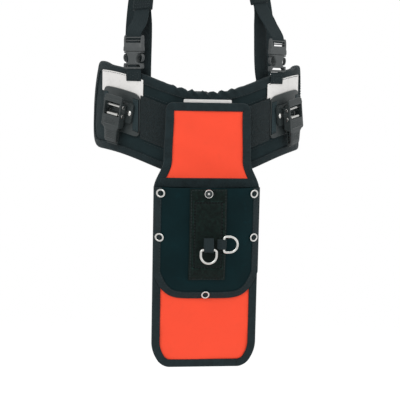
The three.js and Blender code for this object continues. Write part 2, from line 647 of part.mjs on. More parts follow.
// The front ring hangs from a bar across the sleeve and the side ring from an upright bar at its edge.
function addRings() {
  const depth = sleeveFront - gap - ringTab.thickness - gap - ring.wire - gap;
  const places = {
    front: { at: [0, depth, ringTab.height], turn: 0, tail: ringTab.frontTail },
    side: { at: [sleeve.halfWidth - 5, depth, ringTab.height + 8], turn: -Math.PI / 2, tail: ringTab.sideTail },
  };
  for (const [name, { at, turn, tail }] of Object.entries(places)) {
    const group = new THREE.Group();
    group.position.set(...at);
    group.rotation.y = turn;
    model.add(group);
    addPiece(group, `ring_tab_${name}`, ringTabSolid(tail), 'webbing');
    addPiece(group, `d_ring_${name}`, ringSolid(), 'steel');
  }
}

addBelt();
addRearWebbing();
addRearBuckle();
for (const [side, mirror] of [['left', -1], ['right', 1]]) {
  addHipClip(side, mirror);
  addBrace(side, mirror, addBraceBuckle(side, mirror));
}
addYoke();
addPanel();
addPocket();
addSleeve();
addRings();

export default model;
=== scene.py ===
import json
import math

import bmesh
import bpy
import numpy as np
from mathutils import Matrix, Vector

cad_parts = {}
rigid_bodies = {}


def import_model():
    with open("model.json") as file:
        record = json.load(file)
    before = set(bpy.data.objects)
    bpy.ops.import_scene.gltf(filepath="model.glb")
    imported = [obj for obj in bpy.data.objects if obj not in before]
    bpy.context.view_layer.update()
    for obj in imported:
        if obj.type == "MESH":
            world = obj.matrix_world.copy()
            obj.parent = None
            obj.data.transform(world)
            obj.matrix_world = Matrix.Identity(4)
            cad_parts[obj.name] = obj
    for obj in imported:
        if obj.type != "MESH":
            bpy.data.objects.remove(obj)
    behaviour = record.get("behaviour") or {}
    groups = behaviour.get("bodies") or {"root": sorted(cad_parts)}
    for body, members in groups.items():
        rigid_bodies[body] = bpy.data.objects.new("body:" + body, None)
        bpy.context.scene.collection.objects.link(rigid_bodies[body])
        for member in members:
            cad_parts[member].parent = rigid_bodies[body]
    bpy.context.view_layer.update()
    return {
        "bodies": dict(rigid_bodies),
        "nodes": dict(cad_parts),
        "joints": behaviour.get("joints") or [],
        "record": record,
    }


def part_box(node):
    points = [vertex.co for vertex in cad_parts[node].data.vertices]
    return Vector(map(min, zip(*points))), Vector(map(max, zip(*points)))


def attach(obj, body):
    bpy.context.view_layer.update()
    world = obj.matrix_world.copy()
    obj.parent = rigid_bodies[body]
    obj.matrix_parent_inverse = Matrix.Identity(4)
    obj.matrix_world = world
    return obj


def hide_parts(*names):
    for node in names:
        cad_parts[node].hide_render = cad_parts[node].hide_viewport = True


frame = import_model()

bl_info = {
    "name": "Harness Vest",
    "version": (1, 0, 0),
    "blender": (4, 5, 0),
    "location": "View3D > Sidebar > Vest",
    "description": "Builds the cloth, webbing, plastic and steel of a harness vest round its frame",
    "category": "Add Mesh",
}

NODES = frame["nodes"]
SIDES = {"left": -1, "right": 1}


def low_corner(node):
    return np.array(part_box(node)[0])


def high_corner(node):
    return np.array(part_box(node)[1])


# ---- Sizes and colours that a user would change ------------------------------------------


def length(name, description, default):
    return bpy.props.FloatProperty(
        name=name, description=description, default=default, unit="LENGTH", subtype="DISTANCE", precision=4
    )


def colour(name, description, default):
    return bpy.props.FloatVectorProperty(
        name=name, description=description, default=default, subtype="COLOR", size=3, min=0, max=1
    )


class VestWaistSettings(bpy.types.PropertyGroup):
    half_width: length("Half width", "Half of the waist's width, outside the pad", 0.162)
    front_depth: length("Front depth", "From the waist's middle to the pad's front", 0.138)
    back_depth: length("Back depth", "From the waist's middle to the belt behind", 0.112)
    front_drop: length("Front drop", "How far the pad's middle line sinks at the front", 0.034)
    side_rise: length("Side rise", "How far the pad's middle line rises at the sides", 0.005)
    half_length: length("Pad half length", "From the pad's middle to its end, along the waist", 0.222)
    half_height: length("Pad half height", "Half of the pad's height", 0.064)
    thickness: length("Pad thickness", "Foam and cloth together", 0.011)
    corner: length("Pad lower corner", "Radius of the pad's lower corners", 0.034)
    top_corner: length("Pad upper corner", "Radius of the pad's upper corners", 0.005)
    binding: length("Binding width", "Width of the tape on each face of the pad", 0.011)


class VestWebbingSettings(bpy.types.PropertyGroup):
    width: length("Webbing width", "Width of the brace webbing", 0.025)
    thickness: length("Webbing thickness", "Thickness of the brace webbing", 0.002)
    stitch: length("Stitch pitch", "From one stitch to the next", 0.0042)
    thread: length("Thread radius", "Radius of the sewing thread", 0.00042)


class VestHolsterSettings(bpy.types.PropertyGroup):
    binding: length("Binding width", "Width of the tape round the holster panel", 0.0100)
    crown: length("Crown", "How far the panel's face swells between its edges", 0.0022)
    belly: length("Pocket belly", "How far the pocket's face stands out at its middle", 0.021)


class VestColourSettings(bpy.types.PropertyGroup):
    pad: colour("Pad cloth", "Black woven cloth of the pad", (0.0070, 0.0136, 0.0152))
    webbing: colour("Webbing", "Charcoal webbing", (0.0080, 0.0130, 0.0144))
    tape: colour("Binding tape", "Black ribbed tape", (0.0066, 0.0122, 0.0138))
    orange: colour("Coated cloth", "Orange coated cloth of the holster", (0.80, 0.060, 0.022))
    reflective: colour("Reflective cloth", "Pale reflective cloth", (0.66, 0.65, 0.635))
    pocket: colour("Pocket skin", "Near-black smooth skin of the pocket", (0.0014, 0.0102, 0.0122))
    sleeve: colour("Sleeve cloth", "Green-black cloth of the tool sleeve", (0.0032, 0.0100, 0.0082))
    clip: colour("Clip plastic", "Charcoal plastic of the hip clips", (0.0185, 0.0240, 0.0245))
    buckle: colour("Buckle plastic", "Grey plastic of the shoulder buckles", (0.042, 0.047, 0.048))
    steel: colour("Steel", "Polished steel", (0.56, 0.56, 0.54))


class VestStageSettings(bpy.types.PropertyGroup):
    azimuth: bpy.props.FloatProperty(
        name="Azimuth",
        description="Camera's turn round the object",
        default=math.radians(-6.73),
        subtype="ANGLE",
    )
    elevation: bpy.props.FloatProperty(
        name="Elevation", description="Camera's height angle", default=math.radians(6.88), subtype="ANGLE"
    )
    roll: bpy.props.FloatProperty(
        name="Roll", description="Camera's lean", default=math.radians(1.16), subtype="ANGLE"
    )
    distance: length("Distance", "From the camera to what it looks at", 1.524)
    lens: bpy.props.FloatProperty(name="Lens", description="Focal length in millimetres", default=85.7)


GROUPS = {
    "vest_waist": VestWaistSettings,
    "vest_webbing": VestWebbingSettings,
    "vest_holster": VestHolsterSettings,
    "vest_colours": VestColourSettings,
    "vest_stage": VestStageSettings,
}


def settings(name):
    return getattr(bpy.context.scene, name)


# ---- Shader maths --------------------------------------------------------------------------


class Value:
    """Wraps a number socket, so that Python's operators add Math nodes."""

    def __init__(self, shader, socket):
        self.shader = shader
        self.socket = socket

    def _with(self, operation, other, swap=False):
        first, second = (other, self) if swap else (self, other)
        return self.shader.maths(operation, first, second)

    def __add__(self, other):
        return self._with("ADD", other)

    __radd__ = __add__

    def __sub__(self, other):
        return self._with("SUBTRACT", other)

    def __rsub__(self, other):
        return self._with("SUBTRACT", other, swap=True)

    def __mul__(self, other):
        return self._with("MULTIPLY", other)

    __rmul__ = __mul__

    def __truediv__(self, other):
        return self._with("DIVIDE", other)

    def __gt__(self, other):
        return self._with("GREATER_THAN", other)

    def __lt__(self, other):
        return self._with("LESS_THAN", other)

    def wave(self, period):
        """A sine of the value with the given period, from -1 to 1."""
        return self.shader.maths("SINE", self * (2 * math.pi / period))

    def far(self):
        """The value without its sign."""
        return self.shader.maths("ABSOLUTE", self)


class Shader:
    """Builds one material's nodes."""

    def __init__(self, name):
        self.material = bpy.data.materials.new(name)
        self.material.use_nodes = True
        self.tree = self.material.node_tree
        self.surface = self.tree.nodes["Principled BSDF"]

    def plug(self, target, source):
        if isinstance(source, Value):
            source = source.socket
        if isinstance(source, bpy.types.NodeSocket):
            self.tree.links.new(source, target)
        else:
            target.default_value = source

    def node(self, kind, attributes=None, **inputs):
        """Adds a node of a type, sets its attributes and then plugs values or links into its inputs."""
        node = self.tree.nodes.new(kind)
        for key, value in (attributes or {}).items():
            setattr(node, key, value)
        for key, value in inputs.items():
            self.plug(node.inputs[key.replace("_", " ")], value)
        return node

    def maths(self, operation, *values):
        node = self.node("ShaderNodeMath", {"operation": operation})
        for socket, value in zip(node.inputs, values):
            self.plug(socket, value)
        return Value(self, node.outputs[0])

    def limit(self, value, low, high):
        """Maps low to 0 and high to 1 smoothly and holds the value outside."""
        node = self.node("ShaderNodeMapRange", {"interpolation_type": "SMOOTHSTEP"})
        for key, given in (("Value", value), ("From Min", low), ("From Max", high)):
            self.plug(node.inputs[key], given)
        return Value(self, node.outputs["Result"])

    def place(self, kind):
        """Object or UV coordinates as a vector and as three numbers."""
        vector = self.node("ShaderNodeTexCoord").outputs[kind]
        split = self.node("ShaderNodeSeparateXYZ", Vector=vector)
        return vector, [Value(self, split.outputs[axis]) for axis in "XYZ"]

    def noise(self, vector, scale, detail=3.0, roughness=0.55):
        node = self.node(
            "ShaderNodeTexNoise", None, Vector=vector, Scale=scale, Detail=detail, Roughness=roughness
        )
        return Value(self, node.outputs["Fac"])

    def blend(self, factor, first, second):
        """Mixes two colours."""
        node = self.node("ShaderNodeMix", {"data_type": "RGBA"})
        for socket, value in zip((node.inputs[0], node.inputs[6], node.inputs[7]), (factor, first, second)):
            self.plug(socket, value)
        return node.outputs[2]

    def bump(self, height, distance, strength=1.0):
        node = self.node("ShaderNodeBump", None, Height=height, Distance=distance, Strength=strength)
        self.plug(self.surface.inputs["Normal"], node.outputs["Normal"])

    def finish(self, **inputs):
        """Sets sockets of the surface shader."""
        for key, value in inputs.items():
            self.plug(self.surface.inputs[key.replace("_", " ")], value)
        return self.material


def rgba(value, gain=1.0):
    return (*[min(1.0, part * gain) for part in value], 1.0)


# ---- Materials -------------------------------------------------------------------------------


def pad_cloth_material():
    """Plain-woven cloth: crossed yarns in the bump, and pale lint and soft creases in the colour."""
    shade = Shader("pad_cloth")
    base = settings("vest_colours").pad
    _, (along, up, _) = shade.place("UV")
    where, _ = shade.place("Object")
    yarns = along.wave(0.0016) * up.wave(0.0016)
    creases = shade.noise(where, 38, 4)
    lint = shade.limit(shade.noise(where, 900, 2), 0.60, 0.78)
    tone = shade.blend(creases, rgba(base, 0.65), rgba(base, 1.9))
    shade.bump(yarns * 0.35 + creases * 1.6, 0.0005, 0.8)
    return shade.finish(
        Base_Color=shade.blend(lint * 0.30, tone, rgba(base, 6.0)),
        Roughness=0.78 + creases * 0.16,
        Sheen_Weight=0.03,
        Sheen_Roughness=0.5,
        Specular_IOR_Level=0.10,
    )


def webbing_material(name="webbing", gain=1.0, rib=0.0022):
    """Webbing: ribs across the strap's length and rows of twill."""
    shade = Shader(name)
    base = settings("vest_colours").webbing
    _, (across, along, _) = shade.place("UV")
    where, _ = shade.place("Object")
    slant = (across + along * 0.5).wave(rib)
    rows = across.wave(rib * 1.6)
    worn = shade.noise(where, 45, 3)
    grain = shade.noise(where, 1500, 2)
    height = slant * 0.5 + rows * 0.18 + grain * 0.5
    tone = shade.blend(shade.limit(height, -0.6, 1.2), rgba(base, 0.75 * gain), rgba(base, 1.75 * gain))
    shade.bump(height, 0.0004, 0.8)
    return shade.finish(
        Base_Color=shade.blend(worn * 0.35, tone, rgba(base, 2.6 * gain)),
        Roughness=0.62 + worn * 0.22,
        Sheen_Weight=0.03,
        Sheen_Roughness=0.4,
        Specular_IOR_Level=0.12,
    )


def tape_material():
    """Binding tape: narrow ribs that cross the tape, slightly shiny on their crowns."""
    shade = Shader("binding_tape")
    base = settings("vest_colours").tape
    _, (_, along, _) = shade.place("UV")
    where, _ = shade.place("Object")
    ribs = along.wave(0.0019)
    rumple = shade.noise(where, 110, 3)
    shade.bump(ribs * 0.5 + rumple * 2.0, 0.0006, 0.9)
    return shade.finish(
        Base_Color=shade.blend(rumple, rgba(base, 0.7), rgba(base, 2.3)),
        Roughness=0.55 + rumple * 0.25,
        Sheen_Weight=0.03,
        Specular_IOR_Level=0.12,
    )


def loop_band_material():
    """Loop-pile band: a felt of tiny loops that catches light unevenly."""
    shade = Shader("loop_pile")
    base = settings("vest_colours").pad
    where, _ = shade.place("Object")
    loops = shade.noise(where, 620, 4, 0.75)
    patches = shade.noise(where, 60, 3)
    tone = shade.blend(shade.limit(loops, 0.35, 0.72), rgba(base, 0.3), rgba(base, 1.9))
    shade.bump(loops * 2.2 + patches, 0.0011, 1.0)
    return shade.finish(
        Base_Color=shade.blend(patches * 0.4, tone, rgba(base, 1.3)),
        Roughness=0.92,
        Sheen_Weight=0.08,
        Sheen_Roughness=0.6,
        Specular_IOR_Level=0.1,
    )


def sleeve_material():
    """Open honeycomb cloth of the tool sleeve: two crossed waves raise small round cells, and the nap
    between them is rubbed and mottled. The colour also carries painted shade in the stitched channel
    round the inset rectangle, and a painted highlight on the raised edge just outside that channel."""
    shade = Shader("sleeve_cloth")
    base = settings("vest_colours").sleeve
    _, (across, along, _) = shade.place("UV")
    where, _ = shade.place("Object")
    cells = (across + along).wave(0.0030) * (across - along).wave(0.0030)
    grain = shade.noise(where, 700, 3)
    mottle = shade.limit(shade.noise(where, 230, 4, 0.7), 0.36, 0.70)
    rim = shade.maths("MAXIMUM", across.far() - 0.0195, (along + 0.1687).far() - 0.0462)
    # painted shade: this mask is 1 on the stitched channel round the inset rectangle, where the colour is
    # darkened
    stitch_channel_shade = 1.0 - shade.limit(rim.far(), 0.0003, 0.0015)
    # painted highlight: this mask is 1 on the raised edge just outside the stitched channel
    ridge_highlight = 1.0 - shade.limit((rim - 0.0022).far(), 0.0002, 0.0011)
    tone = shade.blend(shade.limit(cells, -0.5, 0.8), rgba(base, 0.35), rgba(base, 1.5))
    tone = shade.blend(mottle * 0.55, tone, rgba(base, 3.0))
    # painted highlight: the raised edge beside the channel is lightened towards 5 times the base colour,
    # broken up by the mottle
    tone = shade.blend(ridge_highlight * mottle * 0.9, tone, rgba(base, 5.0))
    shade.bump(cells * 1.0 + grain * 0.9 + mottle * 0.8, 0.0011, 1.0)
    return shade.finish(
        # painted shade: the stitched channel is darkened towards 0.12 of the base colour
        Base_Color=shade.blend(stitch_channel_shade * 0.8, tone, rgba(base, 0.12)),
        Roughness=0.78,
        Sheen_Weight=0.03,
        Specular_IOR_Level=0.07,
    )


def orange_material():
    """Coated cloth: a tight weave under a satin coat, a little darker and duller where it is handled."""
    shade = Shader("orange_cloth")
    base = settings("vest_colours").orange
    where, (x, _, z) = shade.place("Object")
    yarns = x.wave(0.0013) * z.wave(0.0013)
    cloud = shade.noise(where, 16, 4)
    grime = shade.limit(shade.noise(where, 70, 5, 0.7), 0.55, 0.80)
    tone = shade.blend(cloud, rgba(base, 0.90), rgba(base, 1.06))
    shade.bump(yarns * 0.3 + cloud * 5.0 + grime * 0.3, 0.0004, 0.55)
    return shade.finish(
        Base_Color=shade.blend(grime * 0.22, tone, rgba((0.60, 0.06, 0.025))),
        Roughness=0.50 + cloud * 0.14 + grime * 0.1,
        Specular_IOR_Level=0.22,
    )


def reflective_material():
    """Glass-bead cloth: a pale grey ground with a fine diamond print and faint scuffs."""
    shade = Shader("reflective_cloth")
    base = settings("vest_colours").reflective
    _, (along, up, _) = shade.place("UV")
    where, _ = shade.place("Object")
    diamonds = (along + up).wave(0.0038) * (along - up).wave(0.0038)
    scuff = shade.limit(shade.noise(where, 120, 4), 0.5, 0.75)
    tone = shade.blend(shade.limit(diamonds, -0.2, 0.4), rgba(base, 0.93), rgba(base, 1.05))
    shade.bump(diamonds * 0.4 + scuff * 0.6, 0.0003, 0.6)
    return shade.finish(
        Base_Color=shade.blend(scuff * 0.35, tone, rgba(base, 0.74)),
        Roughness=0.34 + scuff * 0.25,
        Metallic=0.25,
    )


def pocket_material():
    """Smooth coated skin: shallow pebble grain, soft dents and a dull coat that thins at rubbed spots."""
    shade = Shader("pocket_skin")
    base = settings("vest_colours").pocket
    where, _ = shade.place("Object")
    pebble = shade.noise(where, 520, 3, 0.6)
    dents = shade.noise(where, 22, 3)
    rub = shade.limit(shade.noise(where, 60, 5, 0.7), 0.56, 0.78)
    shade.bump(pebble * 0.35 + dents * 5.0, 0.0006, 0.6)
    return shade.finish(
        Base_Color=shade.blend(
            rub * 0.4, shade.blend(dents, rgba(base, 0.6), rgba(base, 1.5)), rgba(base, 2.4)
        ),
        Roughness=0.46 + dents * 0.14 + rub * 0.2,
        Specular_IOR_Level=0.06,
    )


def plastic_material(name, base):
    """Moulded plastic: spark-eroded grain, scratches, and a paler rubbed tone."""
    shade = Shader(name)
    where, _ = shade.place("Object")
    grain = shade.noise(where, 1300, 2)
    cloud = shade.noise(where, 90, 3)
    scratch = shade.limit(shade.noise(where, 260, 6, 0.8), 0.62, 0.74)
    shade.bump(grain * 0.5 + scratch * 0.5, 0.00022, 0.55)
    return shade.finish(
        Base_Color=shade.blend(
            scratch * 0.30, shade.blend(cloud, rgba(base, 0.8), rgba(base, 1.5)), rgba(base, 3.5)
        ),
        Roughness=0.34 + cloud * 0.16 + scratch * 0.12,
        Specular_IOR_Level=0.35,
    )


def steel_material():
    """Polished steel with fine drag lines and dull finger marks."""
    shade = Shader("polished_steel")
    base = settings("vest_colours").steel
    where, _ = shade.place("Object")
    marks = shade.noise(where, 130, 4)
    fine = shade.noise(where, 1700, 2)
    shade.bump(fine * 0.3, 0.0001, 0.3)
    return shade.finish(
        Base_Color=shade.blend(marks, rgba(base, 0.86), rgba(base, 1.08)),
        Roughness=0.16 + marks * 0.16,
        Metallic=1.0,
    )


def thread_material():
    """Sewing thread: charcoal, a little paler than the cloth."""
    shade = Shader("thread")
    where, _ = shade.place("Object")
    twist = shade.noise(where, 2400, 2)
    return shade.finish(
        Base_Color=shade.blend(twist, (0.012, 0.019, 0.021, 1), (0.034, 0.045, 0.048, 1)),
        Roughness=0.6,
        Specular_IOR_Level=0.2,
    )


def floor_material():
    """A plain pale floor that fades into the pale room away from its middle."""
    shade = Shader("floor")
    where, (x, y, _) = shade.place("Object")
    tone = shade.noise(where, 1.5, 2)
    away = shade.maths("SQRT", x * x + y * y)
    return shade.finish(
        Base_Color=shade.blend(tone, (0.90, 0.90, 0.90, 1), (0.93, 0.93, 0.93, 1)),
        Roughness=0.85,
        Alpha=1.0 - shade.limit(away, 0.5, 2.2),
        Specular_IOR_Level=0.2,
    )


MATERIALS = {}


def material(name):
    """Makes each material once, when a piece first asks for it."""
    makers = {
        "pad": pad_cloth_material,
        "webbing": webbing_material,
        "heavy_webbing": lambda: webbing_material("heavy_webbing", 0.8, 0.0030),
        "keeper": lambda: webbing_material("keeper_webbing", 1.8, 0.0024),
        "tape": tape_material,
        "loop": loop_band_material,
        "sleeve": sleeve_material,
        "orange": orange_material,
        "reflective": reflective_material,
        "pocket": pocket_material,
        "clip": lambda: plastic_material("clip_plastic", settings("vest_colours").clip),
        "buckle": lambda: plastic_material("buckle_plastic", settings("vest_colours").buckle),
        "steel": steel_material,
        "thread": thread_material,
        "floor": floor_material,
    }
    if name not in MATERIALS:
        MATERIALS[name] = makers[name]()
    return MATERIALS[name]


# ---- Surfaces --------------------------------------------------------------------------------


class Surface:
    """Grids of points that become one mesh: each grid is an array of rows and columns of places."""

    def __init__(self, name):
        self.name = name
        self.points = []
        self.uvs = []
        self.faces = []
        self.count = 0

    def grid(self, points, uv=None, wrap_rows=False, wrap_columns=False):
        """Adds the quads between neighbouring rows and columns, joined end to start where wrapped."""
        rows, columns = points.shape[:2]
        if uv is None:
            uv = np.zeros((rows, columns, 2))
        index = np.arange(rows * columns).reshape(rows, columns) + self.count
        if wrap_rows:
            index = np.vstack([index, index[:1]])
        if wrap_columns:
            index = np.hstack([index, index[:, :1]])
        quads = np.stack([index[:-1, :-1], index[1:, :-1], index[1:, 1:], index[:-1, 1:]], axis=-1)
        self.faces.append(quads.reshape(-1, 4))
        self.points.append(points.reshape(-1, 3))
        self.uvs.append(uv.reshape(-1, 2))
        self.count += rows * columns
        return self

    def tube(self, points, uv=None):
        """Adds a grid whose rows are closed rings, with each end drawn together to its middle."""
        self.grid(points, uv, wrap_columns=True)
        for end in (0, -1):
            ring = points[end]
            middle = np.broadcast_to(ring.mean(axis=0), ring.shape)
            ring_uv = uv[end] if uv is not None else np.zeros((len(ring), 2))
            self.grid(np.stack([ring, middle]), np.stack([ring_uv, ring_uv]), wrap_columns=True)
        return self

    def mesh(self):
        data = bpy.data.meshes.new(self.name)
        faces = np.concatenate(self.faces)
        data.from_pydata(np.concatenate(self.points).tolist(), [], faces.tolist())
        layer = data.uv_layers.new(name="cloth")
        loops = np.empty(len(data.loops), dtype=np.int32)
        data.loops.foreach_get("vertex_index", loops)
        layer.data.foreach_set("uv", np.concatenate(self.uvs)[loops].ravel())
        return tidy_mesh(data)

    def piece(self, body, finish, slot, replaces=(), smooth=True, levels=0):
        """Makes the object, rides it on a body and gives it its finish."""
        obj = bpy.data.objects.new(self.name, self.mesh())
        bpy.context.scene.collection.objects.link(obj)
        obj.data.shade_smooth() if smooth else obj.data.shade_flat()
        if levels:
            add_subdivision(obj, levels)
        return dress(obj, body, finish, replaces)


def tidy_mesh(data, close=2e-6):
    """Merges points that coincide and turns every face outwards."""
    work = bmesh.new()
    work.from_mesh(data)
    bmesh.ops.remove_doubles(work, verts=work.verts, dist=close)
    bmesh.ops.recalc_face_normals(work, faces=work.faces)
    work.to_mesh(data)
    work.free()
    return data


def add_subdivision(obj, levels):
    """Adds a subdivision surface with the same levels in the view and the render."""
    modifier = obj.modifiers.new("smooth", "SUBSURF")
    modifier.levels = levels
    modifier.render_levels = levels


def dress(obj, body, finish, replaces=()):
    """Gives a piece its finish, its body and the nodes it stands for."""
    obj.data.materials.clear()
    obj.data.materials.append(material(finish))
    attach(obj, body)
    if replaces:
        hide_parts(*replaces)
    return obj


def rounded_bar(width, thickness, radius, flats=5, turns=4):
    """A closed rounded rectangle: four flats joined by quarter circles of the radius."""
    half = np.array([width / 2 - radius, thickness / 2 - radius])
    corners = np.array([[1, 1], [-1, 1], [-1, -1], [1, -1]]) * half
    arc = np.linspace(0, math.pi / 2, turns + 1)
    ring = []
    for corner in range(4):
        angle = arc + corner * math.pi / 2
        ring.append(corners[corner] + radius * np.stack([np.cos(angle), np.sin(angle)], axis=1))
        step = (corners[(corner + 1) % 4] - corners[corner])[None] * (np.arange(1, flats)[:, None] / flats)
        ring.append(ring[-1][-1] + step)
    return np.concatenate(ring)


def run(points):
    """Length along a row of points, from its first."""
    return np.concatenate([[0], np.cumsum(np.linalg.norm(np.diff(points, axis=0), axis=1))])


def unit(vectors):
    """Vectors divided by their lengths."""
    return vectors / np.maximum(np.linalg.norm(vectors, axis=-1, keepdims=True), 1e-12)


def smooth_path(points, count):
    """A smooth curve through points: each span is a Hermite cubic whose end slopes are the mean of
    its neighbours' slopes, with the parameter growing as the square root of the chord."""
    points = np.asarray(points, dtype=float)
    knots = np.concatenate([[0], np.cumsum(np.sqrt(np.linalg.norm(np.diff(points, axis=0), axis=1)))])
    slopes = np.gradient(points, knots, axis=0)
    at = np.linspace(0, knots[-1], count)
    span = np.clip(np.searchsorted(knots, at, side="right") - 1, 0, len(points) - 2)
    width = (knots[span + 1] - knots[span])[:, None]
    t = ((at - knots[span])[:, None]) / width
    first = (1 + 2 * t) * (1 - t) ** 2 * points[span] + t * (1 - t) ** 2 * width * slopes[span]
    second = t**2 * (3 - 2 * t) * points[span + 1] + t**2 * (t - 1) * width * slopes[span + 1]
    return first + second


def carry(profile, path, face):
    """Carries a closed profile along a path. The profile's first number runs across the strap and its
    second along the face direction; both stay square to the path."""
    along = unit(np.gradient(path, axis=0))
    across = unit(np.cross(face, along))
    out = unit(np.cross(along, across))
    points = path[:, None] + profile[None, :, :1] * across[:, None] + profile[None, :, 1:] * out[:, None]
    around = run(np.vstack([profile, profile[:1]]))[:-1]
    uv = np.stack(np.broadcast_arrays(around[None, :], run(path)[:, None]), axis=-1)
    return points, uv


def strip(name, path, face, width, thickness, flats=10):
    """A flat woven strip with rounded edges, carried along a path."""
    points, uv = carry(rounded_bar(width, thickness, thickness * 0.45, flats=flats, turns=3), path, face)
    return Surface(name).tube(points, uv)


# ---- The waist ---------------------------------------------------------------------------------


class Waist:
    """Lays points along the waist, up it and out from it.

    The plan is two half ellipses, x = a sin t and y = -b cos t, with a smaller b behind. Height is
    level + up, where the level in front is rise - (rise + drop) * cos^2(pi x / 2a), so the belt dips
    at the front middle."""

    def __init__(self):
        s = settings("vest_waist")
        self.a = s.half_width
        self.b = s.front_depth
        self.rise = s.side_rise
        self.drop = s.front_drop
        self.back = s.back_depth
        self.turn = np.linspace(-math.pi, math.pi, 8001)
        plan = np.stack([self.a * np.sin(self.turn), -self.depth(self.turn) * np.cos(self.turn)], axis=1)
        self.length = run(plan)
        self.length -= self.length[-1] / 2

    def depth(self, t):
        """Half the plan's depth: one before the sides and another behind them."""
        return np.where(np.cos(t) > 0, self.b, self.back)

    def level(self, x):
        return self.rise - (self.rise + self.drop) * np.cos(np.pi * x / (2 * self.a)) ** 2

    def place(self, along, up, out):
        t = np.interp(along, self.length, self.turn)
        x = self.a * np.sin(t)
        y = -self.depth(t) * np.cos(t)
        normal = self.normal(along)
        level = np.where(np.cos(t) > 0, self.level(x), self.rise)
        return np.stack([x + normal[..., 0] * out, y + normal[..., 1] * out, level + up], axis=-1)

    def normal(self, along):
        t = np.interp(along, self.length, self.turn)
        plan = np.stack([self.depth(t) * np.sin(t), -self.a * np.cos(t), np.zeros_like(t)], axis=-1)
        return unit(plan)

    def where(self, points):
        """The length along and height up of points near the pad."""
        t = np.arctan2(points[:, 0] / self.a, -points[:, 1] / self.b)
        x = self.a * np.sin(t)
        return np.stack([np.interp(t, self.turn, self.length), points[:, 2] - self.level(x)], axis=-1)


def end_height(along, start, end, half, corner):
    """Half height of a band whose ends are rounded: a quarter circle of the corner radius."""
    to_end = np.minimum(along - start, end - along)
    miss = np.clip(corner - to_end, 0, corner)
    return half - (corner - np.sqrt(np.maximum(corner**2 - miss**2, 0)))


def waist_band(name, waist, start, end, low, high, inner, outer, corner=0.0, steps=60, edge=None, shape=None):
    """A band on the waist: a rounded bar in height and depth, carried along the waist between two
    lengths with cosine spacing, its height drawn in at rounded ends. shape moves its flat pattern."""
    half = (high - low) / 2
    depth = outer - inner
    profile = rounded_bar(2 * half, depth, edge or min(depth / 2.1, 0.003), flats=10, turns=4)
    share = (1 - np.cos(np.linspace(0, math.pi, steps))) / 2
    along = start + (end - start) * share
    above, below = corner if isinstance(corner, tuple) else (corner, corner)
    upper = end_height(along, start, end, half, above)[:, None] / half
    lower = end_height(along, start, end, half, below)[:, None] / half
    up = (low + high) / 2 + profile[None, :, 0] * np.where(profile[None, :, 0] > 0, upper, lower)
    out = np.broadcast_to((inner + outer) / 2 + profile[None, :, 1], up.shape).copy()
    grid_along = np.broadcast_to(along[:, None], up.shape)
    if shape is not None:
        grid_along, up = shape(grid_along, up)
    points = waist.place(grid_along, up, out)
    return Surface(name).tube(points, np.stack([up, grid_along], axis=-1))


# ---- Stitches ------------------------------------------------------------------------------------


def stitches(name, lines, body, slot="webbing", share=0.62):
    """Lines of sewn stitches. Each line is a row of points and a row of face normals; every stitch is a
    short closed bar of five sides that follows the line and sinks into the cloth at both ends."""
    s = settings("vest_webbing")
    ring = np.linspace(0, 2 * math.pi, 5, endpoint=False)
    stations = np.array([-1.0, -0.6, 0.6, 1.0]) * share / 2
    sizes = np.array([0.25, 1.0, 1.0, 0.25])
    sunk = np.array([-1.0, 0.35, 0.35, -1.0])
    surface = Surface(name)
    for points, normals in lines:
        at = run(points)
        count = max(1, int(at[-1] / s.stitch))
        middles = (np.arange(count) + 0.5) * at[-1] / count
        pitch = at[-1] / count
        places = middles[:, None] + stations[None] * pitch
        centre = np.stack([np.interp(places, at, points[:, axis]) for axis in range(3)], axis=-1)
        normal = unit(np.stack([np.interp(middles, at, normals[:, axis]) for axis in range(3)], axis=-1))
        along = unit(centre[:, -1] - centre[:, 0])
        across = unit(np.cross(normal, along))
        centre = centre + normal[:, None] * (sunk[None, :, None] * s.thread)
        radius = sizes[None, :, None, None] * s.thread
        wheel = (
            np.cos(ring)[None, None, :, None] * across[:, None, None]
            + np.sin(ring)[None, None, :, None] * normal[:, None, None]
        )
        bars = centre[:, :, None] + radius * wheel
        for bar in bars:
            surface.tube(bar)
    return surface.piece(body, "thread", slot)


def crossed_box(width, height, count=160):
    """A box of stitches with both its diagonals, as one line of flat points round its middle."""
    corners = np.array([[-1, -1], [1, -1], [1, 1], [-1, 1], [-1, -1], [1, 1], [1, -1], [-1, 1]])
    corners = corners * np.array([width, height]) / 2
    at = run(corners)
    even = np.linspace(0, at[-1], count)
    return np.stack([np.interp(even, at, corners[:, axis]) for axis in range(2)], axis=1)


# ---- Refined copies of the CAD's hard pieces ---------------------------------------------------


def refine(node, finish, body, bevel=0.0005, segments=2, name=None):
    """A copy of a hard node with its flat faces merged and its edges rounded."""
    data = NODES[node].data.copy()
    obj = bpy.data.objects.new(name or f"fine_{node}", data)
    bpy.context.scene.collection.objects.link(obj)
    work = bmesh.new()
    work.from_mesh(data)
    bmesh.ops.remove_doubles(work, verts=work.verts, dist=2e-6)
    bmesh.ops.dissolve_limit(
        work, angle_limit=math.radians(1.5), verts=work.verts, edges=work.edges, use_dissolve_boundaries=False
    )
    work.to_mesh(data)
    work.free()
    modifier = obj.modifiers.new("round", "BEVEL")
    modifier.width = bevel
    modifier.segments = segments
    modifier.limit_method = "ANGLE"
    modifier.angle_limit = math.radians(32)
    modifier.harden_normals = False
    obj.data.shade_smooth()
    weighted = obj.modifiers.new("normals", "WEIGHTED_NORMAL")
    weighted.keep_sharp = False
    weighted.weight = 80
    return dress(obj, body, finish, (node,))


# ---- Moulded pieces ----------------------------------------------------------------------------------


